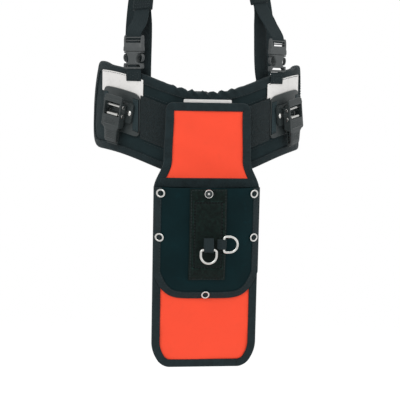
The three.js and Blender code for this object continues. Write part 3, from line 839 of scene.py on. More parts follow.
def loft(surface, stations):
    """Adds a closed block to a surface. Each station is a height and the low and high ends of the block
    across and outwards there, in mm; its section is a superellipse of the fifth power."""
    stations = np.asarray(stations, dtype=float) / 1000
    turn = np.linspace(0, 2 * math.pi, 40, endpoint=False)
    square = np.stack([np.cos(turn), np.sin(turn)], axis=1)
    square = np.sign(square) * np.abs(square) ** 0.4
    z, x_low, x_high, y_low, y_high = (column[:, None] for column in stations.T)
    x = (x_low + x_high) / 2 + (x_high - x_low) / 2 * square[:, 0]
    y = (y_low + y_high) / 2 + (y_high - y_low) / 2 * square[:, 1]
    return surface.tube(np.stack([x, y, np.broadcast_to(z, x.shape)], axis=-1))


def twin(surface, stations):
    """Adds a block and its mirror image across the piece's middle."""
    stations = np.asarray(stations, dtype=float)
    mirrored = stations.copy()
    mirrored[:, 1:3] = -stations[:, 2:0:-1]
    loft(surface, stations)
    return loft(surface, mirrored)


def moulded(surface, frame, finish, body, node, voxel=0.00036, rounds=4, keep=0.35):
    """Runs blocks together into one moulded piece with filleted edges, and sets it in its frame."""
    obj = bpy.data.objects.new(surface.name, surface.mesh())
    bpy.context.scene.collection.objects.link(obj)
    join = obj.modifiers.new("join", "REMESH")
    join.mode = "VOXEL"
    join.voxel_size = voxel
    fillet = obj.modifiers.new("fillet", "SMOOTH")
    fillet.factor = 0.5
    fillet.iterations = rounds
    thin = obj.modifiers.new("thin", "DECIMATE")
    thin.ratio = keep
    data = bpy.data.meshes.new_from_object(obj.evaluated_get(bpy.context.evaluated_depsgraph_get()))
    obj.modifiers.clear()
    obj.data = data
    flat = np.empty(len(data.vertices) * 3)
    data.vertices.foreach_get("co", flat)
    here, axes = frame
    data.vertices.foreach_set("co", (here + flat.reshape(-1, 3) @ axes).ravel())
    data.update()
    data.shade_smooth()
    return dress(obj, body, finish, (node,))


# ---- Belt ------------------------------------------------------------------------------------------


def ease(value, low, high):
    """A smooth step from 0 at low to 1 at high."""
    t = np.clip((value - low) / (high - low), 0, 1)
    return t * t * (3 - 2 * t)


def pad_shape(along, up):
    """The pad as cut: its lower edge is drawn up, and its ends lean so that their tops draw in and
    rise."""
    half = settings("vest_waist").half_height
    near = ease(np.abs(along), 0.150, 0.222)
    share = up / half
    lean = 0.030 * np.clip(share, 0, 1) ** 1.3 + 0.010 * np.clip(share, -0.4, 0)
    lift = 0.0045 * np.clip(share, 0, 1)
    drawn = 0.0075 * np.clip(-share, 0, 1)
    return along - np.sign(along) * near * lean, up + near * lift + drawn


def pad_outline(inset, count=360):
    """The pad's outline, drawn in by an inset: four sides and four quarter circles, as lengths along
    the waist and heights, evenly spaced."""
    s = settings("vest_waist")
    turn = np.linspace(0, math.pi / 2, 16)
    parts = []
    for i, (across, up) in enumerate([(1, 1), (-1, 1), (-1, -1), (1, -1)]):
        corner = max((s.top_corner if up > 0 else s.corner) - inset, 0.0015)
        middle = np.array([across, up]) * (np.array([s.half_length, s.half_height]) - inset - corner)
        angle = turn + i * math.pi / 2
        parts.append(middle + corner * np.stack([np.cos(angle), np.sin(angle)], 1))
    outline = np.concatenate(parts + [parts[0][:1]])
    at = run(outline)
    even = np.linspace(0, at[-1], count, endpoint=False)
    return np.stack([np.interp(even, at, outline[:, axis]) for axis in range(2)], axis=1)


def rumple(along, up):
    """Slanted folds of the pad's top edge, as in twisted rope: two waves that run up and along, and
    fade away from the front middle."""
    near = 1.9 * np.exp(-((along / 0.050) ** 4)) * np.clip((up - 0.053) / 0.011, 0, 1)
    waves = np.sin(along * 430 + up * 330) + 0.45 * np.sin(along * 730 + up * 500 + 1.3)
    return near * waves


def puff_pad(obj, waist):
    """Inflates the pad by cloth simulation. It is held along its binding, and on its face wherever
    the band, a plate or a patch is sewn down."""
    group = obj.vertex_groups.new(name="held")
    flat = np.empty(len(obj.data.vertices) * 3)
    obj.data.vertices.foreach_get("co", flat)
    points = flat.reshape(-1, 3)
    along, up = waist.where(points).T
    away = np.abs(along)
    s = settings("vest_waist")
    edge = np.minimum(s.half_length - away, s.half_height - np.abs(up))
    outward = np.sum((points - waist.place(along, up, 0.0)) * waist.normal(along), axis=1)
    face = outward > -s.thickness / 2
    sewn = face & (away < 0.100) & (up > -0.030) & (up < 0.040)
    clip = face & (away > 0.094) & (away < 0.180) & (up > -0.036) & (up < 0.062)
    inside = ~face & ((np.abs(away - 0.103) < 0.014) | ((away > 0.190) & (np.abs(up) < 0.028)))
    held = np.nonzero((edge < s.binding * 0.9) | sewn | clip | inside)[0]
    group.add(held.tolist(), 1.0, "REPLACE")
    cloth = obj.modifiers.new("cloth", "CLOTH")
    cloth.settings.use_pressure = True
    cloth.settings.uniform_pressure_force = 4.0
    cloth.settings.vertex_group_mass = "held"
    cloth.settings.effector_weights.gravity = 0.0
    cloth.settings.quality = 6
    cloth.point_cache.frame_start = 1
    cloth.point_cache.frame_end = 20
    for frame_number in range(1, 21):
        bpy.context.scene.frame_set(frame_number)
    shaped = obj.evaluated_get(bpy.context.evaluated_depsgraph_get()).to_mesh()
    moved = np.empty(len(shaped.vertices) * 3)
    shaped.vertices.foreach_get("co", moved)
    obj.modifiers.remove(cloth)
    bpy.context.scene.frame_set(1)
    step = moved.reshape(-1, 3) - points
    size = np.linalg.norm(step, axis=1, keepdims=True)
    cap = 0.0035
    step *= np.minimum(1, cap / np.maximum(size, 1e-9))
    obj.data.vertices.foreach_set("co", (points + step).ravel())
    obj.data.update()


class VEST_OT_pad(bpy.types.Operator):
    """Make the padded belt with its binding and seams"""

    bl_idname = "vest.pad"
    bl_label = "Padded belt"

    def execute(self, context):
        s = settings("vest_waist")
        waist = Waist()
        swell = 0.0018
        surface = waist_band(
            "padded_belt", waist, -s.half_length + 0.001, s.half_length - 0.001, -s.half_height + 0.001,
            s.half_height - 0.001, -s.thickness + swell, -swell * 0.5, (s.top_corner, s.corner), steps=150,
            edge=0.0042, shape=pad_shape,
        )
        pad = surface.piece("belt", "pad", "pad_fabric", ("belt_pad",))
        puff_pad(pad, waist)
        self.crease(pad, waist)
        self.give_cloth_map(pad, waist)
        self.bind(waist)
        self.sew(waist)
        return {"FINISHED"}

    def crease(self, pad, waist):
        """Moves points by the rumple and by long shallow dents, along their own normals."""
        flat = np.empty(len(pad.data.vertices) * 3)
        pad.data.vertices.foreach_get("co", flat)
        points = flat.reshape(-1, 3)
        normals = np.empty(len(pad.data.vertices) * 3)
        pad.data.vertices.foreach_get("normal", normals)
        along, up = waist.where(points).T
        dents = 0.35 * np.sin(along * 95 + up * 60) * np.sin(up * 130 - along * 40)
        outer = normals.reshape(-1, 3)
        shift = 0.0009 * rumple(along, up) + 0.0010 * dents
        pad.data.vertices.foreach_set("co", (points + outer * shift[:, None]).ravel())
        pad.data.update()

    def give_cloth_map(self, pad, waist):
        """Writes length along and height up into the UV map."""
        data = pad.data
        flat = np.empty(len(data.vertices) * 3)
        data.vertices.foreach_get("co", flat)
        uv = waist.where(flat.reshape(-1, 3))
        loops = np.empty(len(data.loops), dtype=np.int32)
        data.loops.foreach_get("vertex_index", loops)
        data.uv_layers["cloth"].data.foreach_set("uv", uv[loops].ravel())

    def bind(self, waist):
        """Folds a tape over the pad's whole edge: a U that is carried round the outline."""
        s = settings("vest_waist")
        path = pad_outline(0.0)
        inner = pad_outline(s.binding)
        middle = -s.thickness / 2
        half = s.thickness / 2 - 0.0008
        tape = 0.0011
        profile = tape_profile(s.binding, half, tape)
        share = (profile[:, 0] / s.binding)[None, :, None]
        flat = path[:, None] * (1 - share) + inner[:, None] * share
        along, up = flat[..., 0], flat[..., 1]
        pucker = rumple(along, up)
        out = middle + np.broadcast_to(profile[None, :, 1], along.shape) + 0.0009 * pucker
        up = up + 0.0009 * rumple(along + 0.004, up)
        points = waist.place(*pad_shape(along, up), out)
        around = run(profile)[None, :]
        uv = np.stack(np.broadcast_arrays(around, run(points[:, 0])[:, None]), axis=-1)
        surface = Surface("pad_binding").grid(points, uv, wrap_rows=True, wrap_columns=True)
        surface.piece("belt", "tape", "webbing")

    def sew(self, waist):
        """Stitches along the binding's inner edge, and two runs above and below the loop band."""
        s = settings("vest_waist")
        lines = []
        for side, out in (("front", 0.0007), ("back", -s.thickness - 0.0007)):
            path = pad_outline(s.binding - 0.0016, 600)
            path = np.stack(pad_shape(*np.vstack([path, path[:1]]).T), axis=1)
            points = waist.place(path[:, 0], path[:, 1], np.full(len(path), out))
            facing = waist.normal(path[:, 0]) * (1 if side == "front" else -1)
            lines.append((points, facing))
        for up in (-0.0295, 0.0395):
            along = np.linspace(-0.093, 0.093, 200)
            points = waist.place(along, np.full(200, up), np.full(200, 0.0014))
            lines.append((points, waist.normal(along)))
        stitches("pad_stitching", lines, "belt")


def tape_profile(width, half, tape):
    """A tape folded over an edge: out along one face, half round the edge and back along the other,
    then home again on its inner side."""
    turn = np.linspace(math.pi / 2, 1.5 * math.pi, 9)
    leg = np.linspace(width, 0, 7)
    rim = half + tape
    outer = [
        np.stack([leg, np.full(7, rim)], 1),
        np.stack([rim * 0.55 * np.cos(turn), rim * np.sin(turn)], 1)[1:-1],
        np.stack([leg[::-1], np.full(7, -rim)], 1),
    ]
    inner = [
        np.stack([leg, np.full(7, -half)], 1),
        np.stack([half * 0.5 * np.cos(turn[::-1]), half * np.sin(turn[::-1])], 1)[1:-1],
        np.stack([leg[::-1], np.full(7, half)], 1),
    ]
    return np.concatenate(outer + inner)


class VEST_OT_bands(bpy.types.Operator):
    """Make the loop band, the reflective patches, the keepers and the rear webbing"""

    bl_idname = "vest.bands"
    bl_label = "Bands on the belt"

    def execute(self, context):
        waist = Waist()
        band_low, band_high = -0.026, 0.036

        def straight(along, up):
            """Takes the belt's dip out of the middle patch, so that it lies level."""
            return along, up + waist.level(0.0) - waist.level(waist.place(along, 0.0, 0.0)[..., 0])

        reach = 0.0987
        waist_band(
            "loop_pile_band", waist, -reach, reach, band_low, band_high, 0.0002, 0.0029, steps=80
        ).piece("belt", "loop", "webbing", ("loop_band",))
        lines = []
        for up in (band_low + 0.003, band_high - 0.003):
            along = np.linspace(-reach, reach, 200)
            points = waist.place(along, np.full(200, up), np.full(200, 0.0031))
            lines.append((points, waist.normal(along)))
        for name, start, end, low, high, proud in (
            ("left", -0.178, -0.0955, 0.0285, 0.0590, 0.0003),
            ("right", 0.0940, 0.176, 0.0300, 0.0575, 0.0003),
            ("middle", -0.0345, 0.0345, 0.0455, 0.0566, 0.0011),
        ):
            patch = waist_band(
                f"reflective_{name}", waist, start, end, low, high, proud, proud + 0.001, 0.0012, steps=50,
                edge=0.0004, shape=straight if name == "middle" else None,
            ).piece("belt", "reflective", "pad_fabric")
            if name != "middle":
                along = np.linspace(start + 0.002, end - 0.002, 60)
                points = waist.place(along, np.full(60, high - 0.0018), np.full(60, 0.0015))
                lines.append((points, waist.normal(along)))
        stitches("band_stitching", lines, "belt")
        self.add_keepers(waist)
        for side in SIDES:
            self.add_rear_webbing(waist, side)
        return {"FINISHED"}

    def add_keepers(self, waist):
        """Upright webbing strips over the side plates' ends."""
        lines = []
        for side, sign in SIDES.items():
            for place, end in (("front", -1), ("rear", 1)):
                node = f"keeper_{place}_{side}"
                middle = sign * (0.134 + end * 0.0285)
                waist_band(
                    f"keeper_strap_{place}_{side}", waist, middle - 0.0044, middle + 0.0044, -0.018, 0.028,
                    0.0027, 0.0046, steps=14, edge=0.0008,
                ).piece("belt", "keeper", "webbing", (node,))
                for up in (-0.016, 0.026):
                    along = np.linspace(middle - 0.0036, middle + 0.0036, 12)
                    points = waist.place(along, np.full(12, up), np.full(12, 0.0047))
                    lines.append((points, waist.normal(along)))
        stitches("keeper_stitching", lines, "belt")

    def add_rear_webbing(self, waist, side):
        """The belt's rear webbing, from inside the pad's end to the rear buckle, with a crossed box of
        stitches where it is sewn to the pad."""
        sign = SIDES[side]
        start = settings("vest_waist").half_length - 0.026
        outer = -settings("vest_waist").thickness - 0.0003
        reach = waist.length[-1] - 0.0315 * (1 + 0.0137 * waist.back / waist.a**2)
        ends = (start, reach) if sign > 0 else (-reach, -start)
        waist_band(
            f"belt_webbing_{side}", waist, *ends, -0.025, 0.025, outer - 0.0024, outer, steps=110, edge=0.0009
        ).piece("belt", "heavy_webbing", "webbing", (f"rear_webbing_{side}",))
        flat = crossed_box(0.020, 0.042) + np.array([sign * (start + 0.013), 0.0])
        points = waist.place(flat[:, 0], flat[:, 1], np.full(len(flat), outer - 0.0025))
        stitches(f"belt_webbing_stitching_{side}", [(points, -waist.normal(flat[:, 0]))], "belt")


# ---- Hip clips ----------------------------------------------------------------------------------------


class VEST_OT_hip_clips(bpy.types.Operator):
    """Make the side plates and lever clips"""

    bl_idname = "vest.hip_clips"
    bl_label = "Hip clips"

    def execute(self, context):
        waist = Waist()
        for side, sign in SIDES.items():
            refine(f"side_plate_{side}", "clip", "belt", 0.0009, 3)
            refine(f"lever_base_{side}", "clip", "belt", 0.0005, 2)
            refine(f"ladder_strap_{side}", "clip", f"ladder_{side}", 0.0003, 2)
            self.add_lever(side, belt_frame(waist, sign * 0.134, 0.005, 0.0049))
            for pin, body in (("lever_pin", "belt"), ("pawl_pin", f"lever_{side}")):
                refine(f"{pin}_{side}", "steel", body, 0.0003, 2)
            refine(f"pawl_{side}", "steel", f"pawl_{side}", 0.0003, 2)
            for place in ("front", "rear"):
                refine(f"rivet_{place}_{side}", "steel", "belt", 0.0002, 2)
        return {"FINISHED"}

    def add_lever(self, side, frame):
        """Two side rails, a lip over the window, a ribbed lower face, and a finger tongue that slopes
        down towards the plate and carries a second row of ribs."""
        surface = Surface(f"lever_body_{side}")
        twin(surface, [(-24.5, 14.2, 16.4, 6, 15), (-22, 14.2, 17, 4.1, 16.2), (10, 14.4, 17, 4.1, 16.4),
                       (12, 14.4, 17, 9, 16.5), (13, 14.4, 17, 13.2, 16.5), (20, 14.2, 16.8, 13.4, 16.1)])
        loft(surface, [(11.8, -16.6, 16.6, 14, 16.3), (13.2, -17, 17, 13.8, 17.2),
                       (15.5, -17, 17, 13.8, 17.3),
                       (16.2, -17, 17, 13.8, 16.4), (20, -16.5, 16.5, 13.8, 16.2), (21.8, -15, 15, 14, 15.6)])
        loft(surface, [(-7.4, -16.6, 16.6, 14, 16.2), (-8.6, -17, 17, 13.8, 16.6),
                       (-21, -16.8, 16.8, 13.2, 16.2),
                       (-25, -14.5, 14.5, 10, 15.4), (-28.5, -12.2, 12.2, 7.2, 14.2),
                       (-43.5, -11.4, 11.4, 6.9, 11.6), (-46.6, -9.6, 9.6, 7.4, 10.6)])
        for row in range(5):
            z = -11.0 - 2.3 * row
            loft(surface, [(z - 0.75, -12.4, 12.4, 15, 16.5), (z, -12.8, 12.8, 15, 17.3),
                           (z + 0.75, -12.4, 12.4, 15, 16.5)])
        for row in range(5):
            z = -31.0 - 2.5 * row
            face = 14.2 + (z + 28.5) * 0.173
            loft(surface, [(z - 0.8, -9, 9, face - 2, face - 0.1), (z, -9.4, 9.4, face - 2, face + 0.8),
                           (z + 0.8, -9, 9, face - 2, face - 0.1)])
        moulded(surface, frame, "clip", f"lever_{side}", f"lever_{side}")


# ---- Braces ---------------------------------------------------------------------------------------------


def away_from_body(points):
    """Face directions of a brace: straight out from the waist's plan, and up over the shoulder."""
    s = settings("vest_waist")
    top = 0.430
    start = 0.300
    rise = np.clip((points[:, 2] - start) / (top - start), 0, 1)[:, None] ** 2
    ahead = points[:, 1] < 0
    depth = np.where(ahead, s.front_depth, 0.112)
    spread = np.clip(np.where(ahead, -points[:, 1] / 0.060, (0.200 - points[:, 2]) / 0.090), 0, 1)
    out = np.stack(
        [spread * points[:, 0] / s.half_width**2, points[:, 1] / depth**2, np.zeros(len(points))], axis=1
    )
    return unit(unit(out) * (1 - rise) + np.array([0, 0, 1.0]) * rise)


def belt_frame(waist, along, up, out, upright=False):
    """A place on the waist and its three directions: across, out and up. It leans with the belt's
    slope unless it is upright."""
    here = waist.place(along, up, out)
    sideways = waist.place(along + 0.001, up, out) - waist.place(along - 0.001, up, out)
    sideways[2] = 0.0 if upright else sideways[2]
    sideways = unit(sideways)
    face = waist.normal(along)
    return here, np.stack([-sideways, face, -np.cross(sideways, face)])


# Metres: the top of the braces, the yoke below it, and how far to the side the rear braces hang.
SHOULDER_HEIGHT, YOKE_DROP = 0.430, 0.195
REAR_SHOULDER, REAR_SPREAD, REAR_BELT = 0.078, 0.020, 0.111
REAR_SHIFT = 0.0105


class VEST_OT_braces(bpy.types.Operator):
    """Make the shoulder braces, the inner braces, the tabs and the rear yoke"""

    bl_idname = "vest.braces"
    bl_label = "Braces"

    def execute(self, context):
        waist = Waist()
        s = settings("vest_webbing")
        profile = rounded_bar(s.width, s.thickness, s.thickness * 0.46, flats=8, turns=3)
        lines = []
        for side, sign in SIDES.items():
            here, (_, _, up) = belt_frame(waist, sign * 0.111, 0.0, 0.0013, True)
            top = here + up * 0.1163
            low_x, split_x, rise = (0.0965, 0.0915, 0.007) if side == "left" else (0.0950, 0.0785, 0.003)
            rear_x, rear_y, rear = self.rear_end(waist, sign)
            route = [
                top - up * 0.004,
                top + up * rise,
                (sign * low_x, -0.0990, 0.134),
                (sign * split_x, -0.0900, 0.172),
                (sign * 0.0870, -0.0860, 0.250),
                (sign * 0.084, -0.074, 0.330),
                (sign * 0.080, -0.044, 0.405),
                (sign * 0.078, 0.006, 0.430),
                (self.rear_place(sign, 0.405), 0.056, 0.405),
                (self.rear_place(sign, 0.330), 0.084, 0.330),
                (self.rear_place(sign, 0.235), 0.094, 0.235),
                (rear_x, rear_y, 0.110),
                *(waist.place(rear, up, -0.0101) for up in (0.042, 0.022, 0.002, -0.019)),
            ]
            path = smooth_path(route, 260)
            points, uv = carry(profile, path, away_from_body(path))
            brace = Surface(f"brace_webbing_{side}").tube(points, uv)
            brace.piece("belt", "webbing", "webbing", (f"brace_{side}",))
            self.add_inner(waist, side, sign, path)
            lines += self.add_fold(side, path)
            lines += self.add_tab(waist, side, sign)
            flat = crossed_box(0.018, 0.034)
            points = waist.place(rear + flat[:, 0], flat[:, 1], np.full(len(flat), -0.0089))
            lines.append((points, waist.normal(rear + flat[:, 0])))
        lines += self.add_yoke()
        stitches("brace_stitching", lines, "belt")
        return {"FINISHED"}

    def add_fold(self, side, path):
        """The wider sewn piece that holds the two braces together: a front and a back layer over them,
        closed along both sides and box-stitched."""
        s = settings("vest_webbing")
        low = 0.148 if side == "left" else 0.162
        inside = np.nonzero((path[:, 2] > low) & (path[:, 2] < low + 0.050) & (path[:, 1] < 0))[0]
        middle = path[inside]
        facing = away_from_body(middle)
        middle = middle - facing * s.thickness * 0.62
        points, uv = carry(rounded_bar(0.0325, 0.0074, 0.0034, flats=10, turns=4), middle, facing)
        surface = Surface(f"brace_fold_{side}").tube(points, uv)
        surface.piece("belt", "heavy_webbing", "webbing")
        across = unit(np.cross(facing, unit(np.gradient(middle, axis=0))))
        flat = crossed_box(0.026, 0.036)
        at = np.interp(flat[:, 1] + middle[:, 2].mean(), middle[:, 2], np.arange(len(middle)))
        near = np.round(at).astype(int)
        exact = np.stack(
            [np.interp(at, np.arange(len(middle)), middle[:, axis]) for axis in range(3)], axis=1
        )
        row = exact + across[near] * flat[:, :1] + facing[near] * 0.0038
        edge = middle[3] + across[3] * np.linspace(-0.013, 0.013, 12)[:, None] + facing[3] * 0.0038
        return [(row, facing[near]), (edge, np.tile(facing[3], (12, 1)))]

    def add_yoke(self):
        """The strap across the back: its ends lie over the two rear braces, each held by a crossed box."""
        low, high = low_corner("rear_yoke"), high_corner("rear_yoke")
        share = np.linspace(0, 1, 60)
        y = (low[1] + high[1]) / 2 + 0.0016 * np.sin(math.pi * share) ** 2
        path = np.stack([low[0] + (high[0] - low[0]) * share, y, np.full(60, (low[2] + high[2]) / 2)], axis=1)
        surface = strip("yoke_webbing", path, np.tile([0.0, 1.0, 0.0], (60, 1)), high[2] - low[2], 0.0020, 16)
        surface.piece("belt", "heavy_webbing", "webbing", ("rear_yoke",))
        lines = []
        for x in (low[0] + 0.0125, high[0] - 0.0125):
            flat = crossed_box(0.019, 0.036)
            points = np.stack(
                [x + flat[:, 0], np.full(len(flat), high[1] + 0.0003), path[0, 2] + flat[:, 1]], 1
            )
            lines.append((points, np.tile([0.0, 1.0, 0.0], (len(flat), 1))))
        return lines

    def rear_place(self, sign, height):
        """How far to the side a brace hangs behind: it spreads towards the yoke, and the back hangs a
        little to the right."""
        share = (SHOULDER_HEIGHT - height) / YOKE_DROP
        return sign * (REAR_SHOULDER + REAR_SPREAD * share) + REAR_SHIFT * share

    def rear_end(self, waist, sign):
        """Where a brace comes down to the rear webbing, y = 112 sqrt(1 - (x / 162)^2) - 13 in mm, and
        that place's length along the waist."""
        x = sign * REAR_BELT + REAR_SHIFT
        turn = sign * math.pi - math.asin(x / waist.a)
        y = waist.back * math.sqrt(1 - (x / waist.a) ** 2) - 0.013
        return x, y, np.interp(turn, waist.turn, waist.length)

    def add_inner(self, waist, side, sign, outer):
        """The brace's second strap: it leaves the outer one at the fold and runs down inside the pad."""
        s = settings("vest_webbing")
        along = np.float64(sign * 0.103)
        inside = -0.0135
        low = waist.place(along, 0.0, inside)
        high = waist.place(along, 0.074, inside)
        draw = 0.0 if side == "left" else 0.007
        front = outer[outer[:, 1] < 0]
        under = front - away_from_body(front) * (s.thickness + 0.0006)
        near = [under[int(np.argmin(np.abs(front[:100, 2] - height)))] for height in (0.196, 0.176, 0.158)]
        route = [
            *near,
            (sign * (0.089 - draw), -0.0880, 0.128),
            (high[0] - draw, high[1], high[2]),
            (low[0], low[1], (high[2] + low[2]) / 2),
            tuple(low),
        ]
        path = smooth_path(route, 110)
        surface = strip(f"inner_webbing_{side}", path, away_from_body(path), s.width, s.thickness, 8)
        surface.piece("belt", "webbing", "webbing", (f"inner_brace_{side}",))

    def add_tab(self, waist, side, sign):
        """The short tab that is sewn to the pad's top edge under the buckle, with a crossed box of
        stitches."""
        s = settings("vest_webbing")
        node = f"belt_tab_{side}"
        here, (_, out, _) = belt_frame(waist, sign * 0.111, 0.0, 0.0013, True)
        low, high = low_corner(node)[2], high_corner(node)[2]
        share = np.linspace(0, 1, 30)
        path = here + out * (0.0007 * np.sin(math.pi * share) - 0.0001)[:, None]
        path[:, 2] = low + (high - low) * share
        facing = np.tile(out, (30, 1))
        surface = strip(f"tab_webbing_{side}", path, facing, s.width, s.thickness, 8)
        surface.piece("belt", "webbing", "webbing", (node,))
        across = unit(np.cross(out, [0.0, 0.0, 1.0]))
        flat = crossed_box(0.019, 0.0095)
        middle = here + out * 0.0018
        row = middle + across * flat[:, :1] + np.array([0, 0, 1.0]) * (flat[:, 1:] + low + 0.0075 - here[2])
        return [(row, np.tile(out, (len(row), 1)))]


class VEST_OT_buckles(bpy.types.Operator):
    """Make the shoulder buckles and the rear buckle"""

    bl_idname = "vest.buckles"
    bl_label = "Buckles"

    def execute(self, context):
        waist = Waist()
        for side, sign in SIDES.items():
            frame = belt_frame(waist, sign * 0.111, 0.0, 0.0013, True)
            self.add_socket(side, frame)
            self.add_plug(side, frame)
            for place, end in (("front", sign), ("rear", -sign)):
                self.add_prong(side, place, end, frame)
        refine("rear_buckle_socket", "buckle", "belt", 0.0012, 3)
        refine("rear_buckle_plug", "buckle", "belt", 0.0012, 3)
        return {"FINISHED"}

    def add_socket(self, side, frame):
        """A waisted body between a collar and a flared foot, with a slot over the foot's bar."""
        surface = Surface(f"socket_body_{side}")
        loft(surface, [(70.2, -14.4, 14.4, -2.4, 2.4), (71, -15.6, 15.6, -3, 3), (72.6, -15.6, 15.6, -3, 3),
                       (73.2, -15, 15, -2.4, 2.4)])
        twin(surface, [(71, 12.6, 16, -3, 3), (74, 12.4, 16.2, -3.6, 3.6), (78.4, 10, 14.6, -5, 5)])
        loft(surface, [(76.2, -13.4, 13.4, -3.6, 3.6), (77.2, -13.4, 13.4, -5, 5), (79, -9.6, 9.6, -5.6, 5.6),
                       (80.6, -7.6, 7.6, -5.8, 5.8), (83.6, -6.9, 6.9, -6, 6), (87.4, -7.8, 7.8, -6, 6),
                       (90.6, -9.4, 9.4, -6, 6), (92.3, -10.4, 10.4, -6, 6), (92.8, -13.4, 13.4, -6, 6),
                       (93.8, -15.6, 15.6, -5.8, 5.8), (95, -15.4, 15.4, -5.4, 5.4)])
        moulded(surface, frame, "buckle", "belt", f"buckle_socket_{side}")

    def add_plug(self, side, frame):
        """Shoulders that taper up to a ladder of two bars, with small ears beside the webbing."""
        surface = Surface(f"plug_body_{side}")
        loft(surface, [(95.3, -15.6, 15.6, -5.2, 5.2), (96.6, -16.4, 16.4, -5.8, 5.8),
                       (101, -16.2, 16.2, -5.8, 5.8),
                       (106.6, -15.2, 15.2, -4.6, 4.6), (107.6, -14.6, 14.6, -3.6, 3.6)])
        twin(surface, [(104, 12.2, 15.6, -4, 4), (112, 12.6, 16, -3.4, 3.4), (116, 13, 16, -2.8, 2.8),
                       (118.4, 13.8, 15.4, -1.8, 1.8)])
        loft(surface, [(109.8, -14, 14, -1.6, 1.8), (110.6, -14, 14, -2.4, 2.6), (111.6, -14, 14, -1.6, 1.8)])
        loft(surface, [(114.2, -14, 14, -1.8, 1.8), (115, -14, 14, -2.6, 2.6), (116, -14, 14, -1.8, 1.8)])
        moulded(surface, frame, "buckle", "belt", f"buckle_plug_{side}")

    def add_prong(self, side, place, end, frame):
        """A bowed arm that stands out beside the body's waist, closing an oval window."""
        arm = np.array([(80.2, 12.2, 13.8, -2.2, 2.2), (81.8, 13.4, 15.6, -2.5, 2.5),
                        (84.4, 14.6, 16.8, -2.5, 2.5), (87.4, 14.8, 17.2, -2.5, 2.5),
                        (89.8, 13.6, 16.6, -2.5, 2.5), (91.8, 12.6, 15.2, -2.2, 2.2)])
        if end < 0:
            arm[:, 1:3] = -arm[:, 2:0:-1]
        surface = loft(Surface(f"prong_arm_{place}_{side}"), arm)
        node = f"buckle_prong_{place}_{side}"
        moulded(surface, frame, "buckle", f"prong_{place}_{side}", node, 0.0003, 3, 0.5)


# ---- Holster ------------------------------------------------------------------------------------------


PANEL_LOW = low_corner("holster_panel")
PANEL_HIGH = high_corner("holster_panel")
PANEL_FRONT = PANEL_LOW[1]
PANEL_TOP = PANEL_HIGH[2] - 0.0042


def panel_half(z, inset=0.0):
    """Half width of the holster panel at a height: a neck of 59 to 61 mm that flares to 75 mm under the
    belt, less quarter circles at the top corners and a square-law chamfer at the bottom ones."""
    top = PANEL_TOP
    low = PANEL_LOW[2]
    half = 0.0592 + 0.0018 * (1 - ease(z, -0.064, 0.0)) + 0.0138 * (1 - ease(z, -0.106, -0.064))
    radius = 0.009
    miss = np.clip(radius - (top - z), 0, radius)
    half = half - (radius - np.sqrt(radius**2 - miss**2))
    rise = np.clip((0.036 - (z - low)) / 0.036, 0, 1)
    lower_radius = 0.009
    lower_miss = np.clip(lower_radius - (z - low), 0, lower_radius)
    half = half - (lower_radius - np.sqrt(lower_radius**2 - lower_miss**2))
    return half - 0.0155 * rise**2 - inset


def panel_edge(count=420):
    """The holster panel's outline, evenly spaced: up the right side, along the top, and down the left."""
    low, top = PANEL_LOW[2], PANEL_TOP
    z = low + (top - low) * (1 - np.cos(np.linspace(0, math.pi, 400))) / 2
    right = np.stack([panel_half(z), z], 1)
    left = right[::-1] * np.array([-1, 1])
    outline = np.vstack([right, left, right[:1]])
    at = run(outline)
    even = np.linspace(0, at[-1], count, endpoint=False)
    return np.stack([np.interp(even, at, outline[:, axis]) for axis in range(2)], axis=1)


def pocket_floor(x):
    """Height of the pocket's lower edge: lowest at the middle, rising to the side corners."""
    share = np.abs(x) / POCKET_HALF
    return POCKET_LOW + 0.0385 * share**5.6


POCKET_HALF = high_corner("tool_pocket")[0]
POCKET_TOP = high_corner("tool_pocket")[2]
POCKET_LOW = low_corner("tool_pocket")[2]
POCKET_EDGE = 0.0032


def pocket_stand(x, z):
    """How far the pocket's face stands off the panel: a thin sewn edge and a belly that fades to the
    sides and the lower edge."""
    share = np.clip(np.abs(x) / POCKET_HALF, 0, 1)
    down = np.clip((POCKET_TOP - z) / (POCKET_TOP - pocket_floor(x)), 0, 1)
    belly = settings("vest_holster").belly - POCKET_EDGE
    across = (1 - share**3.4) ** 0.9
    below = (1 - down**5.5) ** 0.9
    return POCKET_EDGE + belly * across * below


def flat_binding(name, path, width, depth_front, depth_back, tape=0.0009):
    """A tape folded over the edge of a flat panel: a U carried round the outline in the panel's plane.
    depth_front and depth_back are the faces' places along Y at every outline point."""
    along = unit(np.gradient(np.vstack([path[-1:], path, path[:1]]), axis=0)[1:-1])
    inward = np.stack([-along[:, 1], along[:, 0]], 1)
    half = 1.0
    profile = tape_profile(width, half, tape / 0.002)
    middle = (depth_front + depth_back) / 2
    reach = np.abs(depth_back - depth_front) / 2
    inset = profile[None, :, :1]
    flat = path[:, None] + inward[:, None] * inset * np.where(inset > 0, 1, 0.0025)
    out = middle[:, None] - profile[None, :, 1] * (reach[:, None] + tape * 0.4)
    points = np.stack([flat[..., 0], out, flat[..., 1]], axis=-1)
    uv = np.stack(np.broadcast_arrays(run(profile * 0.01)[None, :], run(path)[:, None]), axis=-1)
    return Surface(name).grid(points, uv, wrap_rows=True, wrap_columns=True)


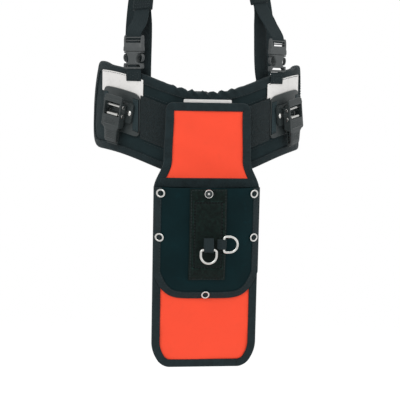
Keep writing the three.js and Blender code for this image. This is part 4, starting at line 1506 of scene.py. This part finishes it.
class VEST_OT_holster(bpy.types.Operator):
    """Make the holster panel with its binding, header band, hanger and seams"""

    bl_idname = "vest.holster"
    bl_label = "Holster panel"

    def execute(self, context):
        self.add_panel()
        self.add_binding()
        self.add_header()
        self.add_hanger()
        return {"FINISHED"}

    def add_panel(self):
        """A flat padded board: for each height a flat ring, its front face crowned between the edges."""
        s = settings("vest_holster")
        low, top = PANEL_LOW[2] + 0.0006, PANEL_TOP - 0.0006
        z = low + (top - low) * (1 - np.cos(np.linspace(0, math.pi, 220))) / 2
        u = np.concatenate([np.linspace(-1, 1, 50), np.linspace(1, -1, 50)])
        front = np.arange(100) < 50
        x = panel_half(z, 0.0006)[:, None] * u[None]
        zz = np.broadcast_to(z[:, None], x.shape)
        crown = s.crown * (1 - u**6)[None] * np.clip((z - low) / 0.012, 0, 1)[:, None] ** 0.5
        waves = 0.0006 * np.sin(zz * 62 + 0.6) * np.cos(x * 40) + 0.0004 * np.sin(zz * 140 + x * 60)
        y = np.where(front[None], PANEL_FRONT + 0.0012 - crown * 0.9 + waves, PANEL_HIGH[1] - 0.0016)
        points = np.stack([x, y, zz], axis=-1)
        uv = np.stack([x, zz], axis=-1)
        panel = Surface("holster_cloth").tube(points, uv)
        obj = panel.piece("holster", "orange", "coated_fabric", ("holster_panel",))

    def add_binding(self):
        s = settings("vest_holster")
        path = panel_edge()
        front = np.full(len(path), PANEL_FRONT - 0.0003)
        back = np.full(len(path), PANEL_HIGH[1] - 0.0012)
        flat_binding("holster_binding", path, s.binding, front, back).piece("holster", "tape", "webbing")
        inner = path * 1.0
        along = unit(np.gradient(np.vstack([inner[-1:], inner, inner[:1]]), axis=0)[1:-1])
        inward = np.stack([-along[:, 1], along[:, 0]], 1)
        seam = inner + inward * (s.binding - 0.0018)
        seam = np.vstack([seam, seam[:1]])
        points = np.stack([seam[:, 0], np.full(len(seam), PANEL_FRONT - 0.0013), seam[:, 1]], axis=1)
        facing = np.tile([0.0, -1.0, 0.0], (len(seam), 1))
        stitches("holster_stitching", [(points, facing)], "holster")

    def add_hanger(self):
        """The wide strap behind the panel's top, that the belt's band carries, with two rows of
        stitches."""
        low, high = low_corner("hanger_strap"), high_corner("hanger_strap")
        z = np.linspace(low[2], high[2] - 0.003, 40)
        middle = (low[1] + high[1]) / 2
        path = np.stack([np.zeros(40), np.full(40, middle), z], axis=1)
        facing = np.tile([0.0, -1.0, 0.0], (40, 1))
        surface = strip("hanger_webbing", path, facing, high[0] - low[0], high[1] - low[1], 24)
        surface.piece("belt", "heavy_webbing", "webbing", ("hanger_strap",))
        x = np.linspace(low[0] + 0.003, high[0] - 0.003, 80)
        lines = []
        for height in (low[2] + 0.003, low[2] + 0.008):
            points = np.stack([x, np.full(80, high[1] + 0.0001), np.full(80, height)], axis=1)
            lines.append((points, -np.tile([0.0, -1.0, 0.0], (80, 1))))
        stitches("hanger_stitching", lines, "belt", share=0.55)

    def add_header(self):
        """A band of tape across the panel just above the pocket's mouth."""
        high, low = -0.0895, -0.1050
        z = np.linspace(high, low, 10)
        u = np.concatenate([np.linspace(-1, 1, 40), np.linspace(1, -1, 40)])
        front = np.arange(80) < 40
        x = panel_half(z, 0.003)[:, None] * u[None]
        y = np.where(front[None], PANEL_FRONT - 0.0022, PANEL_FRONT - 0.0002) + 0 * x
        zz = z[:, None] + 0 * x
        points = np.stack([x, y, zz], axis=-1)
        Surface("header_tape").tube(points, np.stack([zz, x], axis=-1)).piece("holster", "tape", "webbing")


class VEST_OT_pocket(bpy.types.Operator):
    """Make the tool pocket with its binding, eyelets and snap"""

    bl_idname = "vest.pocket"
    bl_label = "Tool pocket"

    def execute(self, context):
        self.add_skin()
        self.add_binding()
        for name in ("top_left", "top_right", "low_left", "low_right", "bottom"):
            self.add_eyelet(name)
        self.add_snap()
        return {"FINISHED"}

    def add_skin(self):
        """The pocket's wall: an outer and an inner face, each a grid of width and depth down the pocket."""
        wall = 0.0022
        v = np.linspace(0, 1, 70)
        u = np.linspace(-1, 1, 70)
        x = np.broadcast_to(u[None] * POCKET_HALF, (70, 70))
        z = POCKET_TOP + (pocket_floor(x) - POCKET_TOP) * v[:, None]
        stand = pocket_stand(x, z)
        outer = np.stack([x, PANEL_FRONT - stand, z], axis=-1)
        inner = np.stack(
            [x * 0.985, PANEL_FRONT - np.maximum(stand - wall, 0.0004), z + 0.001 * v[:, None]], axis=-1
        )
        ring = np.concatenate([outer, inner[:, ::-1]], axis=1)
        uv = np.stack([ring[..., 0], ring[..., 2]], axis=-1)
        surface = Surface("pocket_wall").tube(ring, uv)
        surface.piece("holster", "pocket", "pocket_leather", ("tool_pocket",))

    def edge(self, count=260):
        """The pocket's sides and lower edge, from its top left to its top right."""
        x = np.linspace(-1, 1, 400) * POCKET_HALF
        floor = np.stack([x, pocket_floor(x)], 1)
        left = np.stack(
            [np.full(120, -POCKET_HALF), np.linspace(POCKET_TOP, floor[0, 1], 120, endpoint=False)], 1
        )
        right = (left * np.array([-1, 1]))[::-1]
        outline = np.vstack([left, floor, right])
        at = run(outline)
        even = np.linspace(0, at[-1], count)
        return np.stack([np.interp(even, at, outline[:, axis]) for axis in range(2)], axis=1)

    def add_binding(self):
        """A tape that lies on the pocket's rim and follows its face inwards."""
        width = settings("vest_holster").binding
        path = self.edge()
        along = unit(np.gradient(path, axis=0))
        inward = np.stack([-along[:, 1], along[:, 0]], 1)
        inward = unit(np.stack(
            [np.convolve(np.pad(inward[:, a], 6, "edge"), np.ones(13) / 13, "valid") for a in (0, 1)], 1
        ))
        across = np.linspace(0, 1, 8)
        flat = path[:, None] + inward[:, None] * (across[None, :, None] * width)
        stand = pocket_stand(flat[..., 0], flat[..., 1])
        top = PANEL_FRONT - stand - 0.0012 + 0.0006 * (across[None] > 0.93)
        under = PANEL_FRONT - stand - 0.0001
        upper = np.stack([flat[..., 0], top, flat[..., 1]], axis=-1)
        lower = np.stack([flat[..., 0], under, flat[..., 1]], axis=-1)
        wrap = path - inward * 0.0009
        side = np.stack(
            [np.repeat(wrap[:, :1], 3, 1),
             PANEL_FRONT + np.array([[0.0005, -0.0018, -0.0036]]) + 0 * wrap[:, :1],
             np.repeat(wrap[:, 1:], 3, 1)], axis=-1)
        ring = np.concatenate([side, upper, lower[:, ::-1]], axis=1)
        around = np.linspace(0, 0.03, ring.shape[1])
        uv = np.stack(np.broadcast_arrays(around[None], run(path)[:, None]), axis=-1)
        Surface("pocket_binding").tube(ring, uv).piece("holster", "tape", "webbing")
        seam = path + inward * (width - 0.0018)
        points = np.stack(
            [seam[:, 0], PANEL_FRONT - pocket_stand(seam[:, 0], seam[:, 1]) - 0.0013, seam[:, 1]], 1
        )
        stitches("pocket_stitching", [(points, np.tile([0.0, -1.0, 0.0], (len(seam), 1)))], "holster")

    def add_eyelet(self, name):
        """A rolled ring: a flattened circle turned about the eyelet's axis."""
        node = f"eyelet_{name}"
        middle = (low_corner(node) + high_corner(node)) / 2
        turn = np.linspace(0, 2 * math.pi, 40, endpoint=False)
        roll = np.linspace(0, 2 * math.pi, 16, endpoint=False)
        radius = 0.0050 + 0.00125 * np.cos(roll)
        rise = 0.0011 * np.sin(roll)
        x = middle[0] + np.cos(turn)[:, None] * radius
        z = middle[2] + np.sin(turn)[:, None] * radius
        rim = pocket_stand(middle[0] + 0.005 * np.cos(turn), middle[2] + 0.005 * np.sin(turn))
        lean = np.stack([np.cos(turn), np.sin(turn), np.ones_like(turn)], axis=1)
        slope = np.linalg.lstsq(lean, rim, rcond=None)[0]
        stand = slope[2] + (slope[0] * (x - middle[0]) + slope[1] * (z - middle[2])) / 0.005 + 0.0018
        points = np.stack([x, PANEL_FRONT - stand - rise, z], axis=-1)
        surface = Surface(f"rolled_{node}").grid(points, None, wrap_rows=True, wrap_columns=True)
        surface.piece("holster", "steel", "steel", (node,))

    def add_snap(self):
        """A rolled rim and a small boss, turned about the snap's axis, over a dark dish."""
        middle = np.array([0.0, 0.0, POCKET_TOP - 0.0078])
        turn = np.linspace(0, 2 * math.pi, 40, endpoint=False)
        stand = pocket_stand(0.0, middle[2]) + 0.0030
        for name, profile, finish in (
            ("snap_dish", ((0, 0.0008), (0.0046, 0.0008), (0.0056, 0.0011), (0.0058, 0.0), (0, 0.0)), "clip"),
            ("snap_rim", ((0.0047, 0.0009), (0.0050, 0.0019), (0.0056, 0.0023), (0.0062, 0.0018),
                          (0.0064, 0.0006), (0.0062, 0.0001)), "steel"),
            ("snap_boss", ((0, 0.0026), (0.0013, 0.0024), (0.0019, 0.0017), (0.0021, 0.0006),
                           (0, 0.0006)), "steel"),
        ):
            profile = np.array(profile)
            points = np.stack(
                [np.cos(turn)[:, None] * profile[:, 0],
                 PANEL_FRONT - stand - profile[:, 1] + 0 * turn[:, None],
                 middle[2] + np.sin(turn)[:, None] * profile[:, 0]], axis=-1)
            surface = Surface(name).grid(points, None, wrap_rows=True, wrap_columns=True)
            replaced = ("pocket_snap",) if name == "snap_rim" else ()
            slot = "steel" if finish == "steel" else "clip_plastic"
            surface.piece("holster", finish, slot, replaced, levels=1)


SLEEVE_LOW = low_corner("tool_sleeve")
SLEEVE_HIGH = high_corner("tool_sleeve")
# The inset rectangle of stitches on the sleeve: half width, half height and the height of its middle.
INSET_HALF, INSET_RISE, INSET_MIDDLE = 0.0195, 0.0462, -0.1687


def sleeve_stand(x, z):
    """How far the sleeve's face stands off the panel: the pocket's face, a soft crown, a pressed top
    under the snap, and a channel along the inset rectangle of stitches."""
    half = SLEEVE_HIGH[0]
    top = SLEEVE_TOP
    low = SLEEVE_LOW[2]
    across = np.clip(1 - (np.abs(x) / half) ** 5, 0, 1) ** 0.5
    height = np.clip(1 - (np.abs(z - (top + low) / 2) / ((top - low) / 2)) ** 7, 0, 1) ** 0.5
    pressed = 1 - 0.78 * (1 - ease(top - z, 0.010, 0.030))
    level = z - INSET_MIDDLE
    inset = np.minimum(np.abs(np.abs(x) - INSET_HALF) + 1.0 * (np.abs(level) > INSET_RISE),
                       np.abs(np.abs(level) - INSET_RISE) + 1.0 * (np.abs(x) > INSET_HALF))
    channel = 0.0016 * np.exp(-((inset / 0.0016) ** 2))
    ripple = 0.0005 * np.sin(z * 170) * np.cos(x * 90)
    crown = 0.0018 + 0.0062 * across * height * pressed
    return pocket_stand(x, z) + crown - channel + ripple


SLEEVE_TOP = POCKET_TOP - 0.0012


class VEST_OT_sleeve(bpy.types.Operator):
    """Make the tool sleeve on the pocket, its seams, the ring tabs and the D-rings"""

    bl_idname = "vest.sleeve"
    bl_label = "Tool sleeve and rings"

    def execute(self, context):
        half = SLEEVE_HIGH[0]
        z = np.linspace(SLEEVE_LOW[2], SLEEVE_TOP, 110)
        u = np.linspace(-1, 1, 46)
        x = u[None] * half + 0 * z[:, None]
        zz = z[:, None] + 0 * x
        front = np.stack([x, PANEL_FRONT - sleeve_stand(x, zz), zz], axis=-1)
        back = np.stack([x, PANEL_FRONT - pocket_stand(x, zz) - 0.0003, zz], axis=-1)
        ring = np.concatenate([front, back[:, ::-1]], axis=1)
        uv = np.stack([ring[..., 0], ring[..., 2]], axis=-1)
        Surface("sleeve_cloth").tube(ring, uv).piece("holster", "sleeve", "webbing", ("tool_sleeve",))
        self.sew(half)
        for name, turn in (("front", 0.0), ("side", -math.pi / 2)):
            self.add_ring(name, turn)
        return {"FINISHED"}

    def sew(self, half):
        facing = np.array([0.0, -1.0, 0.0])
        lines = []
        inset = (INSET_HALF, INSET_MIDDLE + INSET_RISE, INSET_MIDDLE - INSET_RISE)
        boxes = (inset, (half - 0.002, SLEEVE_TOP - 0.002, SLEEVE_LOW[2] + 0.002))
        for x_half, top, low in boxes:
            corners = np.array([[-x_half, top], [x_half, top], [x_half, low], [-x_half, low], [-x_half, top]])
            at = run(corners)
            even = np.linspace(0, at[-1], 240)
            x, z = (np.interp(even, at, corners[:, axis]) for axis in range(2))
            points = np.stack([x, PANEL_FRONT - sleeve_stand(x, z) - 0.0002, z], axis=1)
            lines.append((points, np.tile(facing, (240, 1))))
        stitches("sleeve_stitching", lines, "holster")

    def add_ring(self, name, turn):
        """A D of wire: a bar, two bent corners, two legs and a half round, carried as one closed loop."""
        box_low, box_high = (low_corner(f"d_ring_{name}"), high_corner(f"d_ring_{name}"))
        wire, half, leg, bend = 0.0019, 0.0112, 0.0080, 0.0030
        arc = np.linspace(0, math.pi, 40)
        quarter = np.linspace(0, math.pi / 2, 8)
        right = np.stack([half - bend + bend * np.sin(quarter), -bend + bend * np.cos(quarter)], 1)
        bow = np.stack([half * np.cos(arc), -leg - half * np.sin(arc)], 1)
        left = (right * np.array([-1, 1]))[::-1]
        outline = np.vstack([[[0, 0]], right, bow, left, [[0, 0]]])
        at = run(outline)
        even = np.linspace(0, at[-1], 120, endpoint=False)
        flat = np.stack([np.interp(even, at, outline[:, axis]) for axis in range(2)], 1)
        for _ in range(2):
            flat = (np.roll(flat, 1, 0) + 2 * flat + np.roll(flat, -1, 0)) / 4
        along = unit(np.roll(flat, -1, 0) - np.roll(flat, 1, 0))
        out = np.stack([-along[:, 1], along[:, 0]], 1)
        ring = np.linspace(0, 2 * math.pi, 16, endpoint=False)
        x = flat[:, :1] + out[:, :1] * wire * np.cos(ring)
        z = flat[:, 1:] + out[:, 1:] * wire * np.cos(ring)
        y = wire * np.sin(ring)[None] + 0 * x
        depth = (box_low[1] + box_high[1]) / 2
        if name == "front":
            pivot = np.array([0.0, depth, box_high[2] - wire])
        else:
            pivot = np.array([box_low[0] + wire, depth, (box_low[2] + box_high[2]) / 2])
        points = turned(np.stack([x, y, z], axis=-1), turn) + pivot
        surface = Surface(f"ring_wire_{name}").grid(points, None, wrap_rows=True, wrap_columns=True)
        surface.piece(f"ring_{name}", "steel", "steel", (f"d_ring_{name}",))
        self.add_tab(name, turn, pivot, wire)

    def add_tab(self, name, turn, pivot, wire):
        """Webbing looped round the bar: down the front, round the bar and up behind, sewn above it."""
        thick = 0.0013
        reach = wire + 0.0004 + thick / 2
        tail = 0.0165 if name == "front" else 0.0090
        sweep = np.linspace(0, math.pi, 16)
        front = np.stack([np.full(8, -reach * 0.55), np.linspace(tail, reach, 8, endpoint=False)], 1)
        front[:, 0] = np.linspace(reach * 0.55, -reach, 8) * 0.9
        loop = np.stack([-reach * np.cos(sweep), -reach * np.sin(sweep)], 1)
        rear = np.stack([np.full(8, reach), np.linspace(reach, tail, 8)], 1)
        side = np.vstack([front, loop, rear])
        path = np.stack([np.zeros(len(side)), side[:, 0], side[:, 1]], axis=1)
        path = smooth_path(path, 60)
        along = unit(np.gradient(path, axis=0))
        facing = np.cross(along, np.array([1.0, 0, 0]))
        profile = rounded_bar(0.014, thick, thick * 0.45, flats=6, turns=2)
        points, uv = carry(profile, path, facing)
        surface = Surface(f"tab_loop_{name}").tube(turned(points, turn) + pivot, uv)
        surface.piece("holster", "webbing", "webbing", (f"ring_tab_{name}",))


def turned(points, angle):
    """Points turned about Y by an angle."""
    c, s = math.cos(angle), math.sin(angle)
    x, y, z = points[..., 0], points[..., 1], points[..., 2]
    return np.stack([c * x + s * z, y, -s * x + c * z], axis=-1)


# ---- Stage ------------------------------------------------------------------------------------------


FLOOR_HALF, FLOOR_HEIGHT = 6, -0.85
LIGHT_TARGET = (0, 0, -0.05)
CAMERA_TARGET = (0.0078, 0.0, -0.1399)


class VEST_OT_stage(bpy.types.Operator):
    """Make the floor, the soft lights and the camera"""

    bl_idname = "vest.stage"
    bl_label = "Stage"

    def execute(self, context):
        self.add_floor()
        self.add_lights()
        self.add_camera()
        world = bpy.data.worlds.new("pale_room")
        world.use_nodes = True
        background = world.node_tree.nodes["Background"]
        background.inputs["Color"].default_value = (1.0, 1.0, 1.0, 1)
        background.inputs["Strength"].default_value = 1.0
        context.scene.world = world
        context.scene.view_settings.view_transform = "Standard"
        return {"FINISHED"}

    def add_floor(self):
        """A level square far below the vest."""
        surface = Surface("floor")
        side = np.linspace(-FLOOR_HALF, FLOOR_HALF, 2)
        x, y = np.meshgrid(side, side, indexing="ij")
        surface.grid(np.stack([x, y, np.full_like(x, FLOOR_HEIGHT)], axis=-1))
        floor = bpy.data.objects.new("floor", surface.mesh())
        bpy.context.scene.collection.objects.link(floor)
        floor.data.materials.append(material("floor"))

    def add_lights(self):
        """Four area lights turned towards the vest."""
        for name, place, size, power in (
            ("key", (-1.3, -1.9, 1.4), 1.4, 20),
            ("fill", (1.8, -1.6, 0.5), 1.8, 8),
            ("top", (0.1, 0.2, 2.2), 1.6, 12),
            ("rear", (0.6, 2.0, 1.2), 1.6, 9),
        ):
            data = bpy.data.lights.new(name, "AREA")
            data.size = size
            data.energy = power
            light = bpy.data.objects.new(name, data)
            light.location = place
            aim = Vector(LIGHT_TARGET) - Vector(place)
            light.rotation_euler = aim.to_track_quat("-Z", "Y").to_euler()
            bpy.context.scene.collection.objects.link(light)

    def add_camera(self):
        """A camera on a sphere round its target, turned by azimuth, elevation and roll."""
        s = settings("vest_stage")
        aim = Vector(CAMERA_TARGET)
        back = Vector(
            (
                math.sin(s.azimuth) * math.cos(s.elevation),
                -math.cos(s.azimuth) * math.cos(s.elevation),
                math.sin(s.elevation),
            )
        )
        data = bpy.data.cameras.new("camera")
        data.lens = s.lens
        camera = bpy.data.objects.new("camera", data)
        turn = (-back).to_track_quat("-Z", "Y").to_matrix() @ Matrix.Rotation(s.roll, 3, "Z")
        camera.matrix_world = Matrix.Translation(aim + back * s.distance) @ turn.to_4x4()
        bpy.context.scene.collection.objects.link(camera)
        bpy.context.scene.camera = camera


class VEST_PT_panel(bpy.types.Panel):
    """Lists what the vest is made of"""

    bl_label = "Harness vest"
    bl_idname = "VEST_PT_panel"
    bl_space_type = "VIEW_3D"
    bl_region_type = "UI"
    bl_category = "Vest"

    def draw(self, context):
        """Lists the operators and then every setting."""
        for operator in OPERATORS:
            self.layout.operator(operator.bl_idname)
        for name in GROUPS:
            box = self.layout.box()
            group = getattr(context.scene, name)
            for key in group.bl_rna.properties.keys():
                if key not in ("rna_type", "name"):
                    box.prop(group, key)


OPERATORS = (
    VEST_OT_stage,
    VEST_OT_pad,
    VEST_OT_bands,
    VEST_OT_hip_clips,
    VEST_OT_braces,
    VEST_OT_buckles,
    VEST_OT_holster,
    VEST_OT_pocket,
    VEST_OT_sleeve,
)


def register():
    """Registers the classes and hangs each settings group on the scene."""
    for cls in (*GROUPS.values(), *OPERATORS, VEST_PT_panel):
        bpy.utils.register_class(cls)
    for name, group in GROUPS.items():
        setattr(bpy.types.Scene, name, bpy.props.PointerProperty(type=group))


def unregister():
    """Takes away what register added."""
    for name in GROUPS:
        delattr(bpy.types.Scene, name)
    for cls in reversed((*GROUPS.values(), *OPERATORS, VEST_PT_panel)):
        bpy.utils.unregister_class(cls)


def main():
    register()
    for operator in OPERATORS:
        group, action = operator.bl_idname.split(".")
        getattr(getattr(bpy.ops, group), action)()


if __name__ == "__main__":
    main()
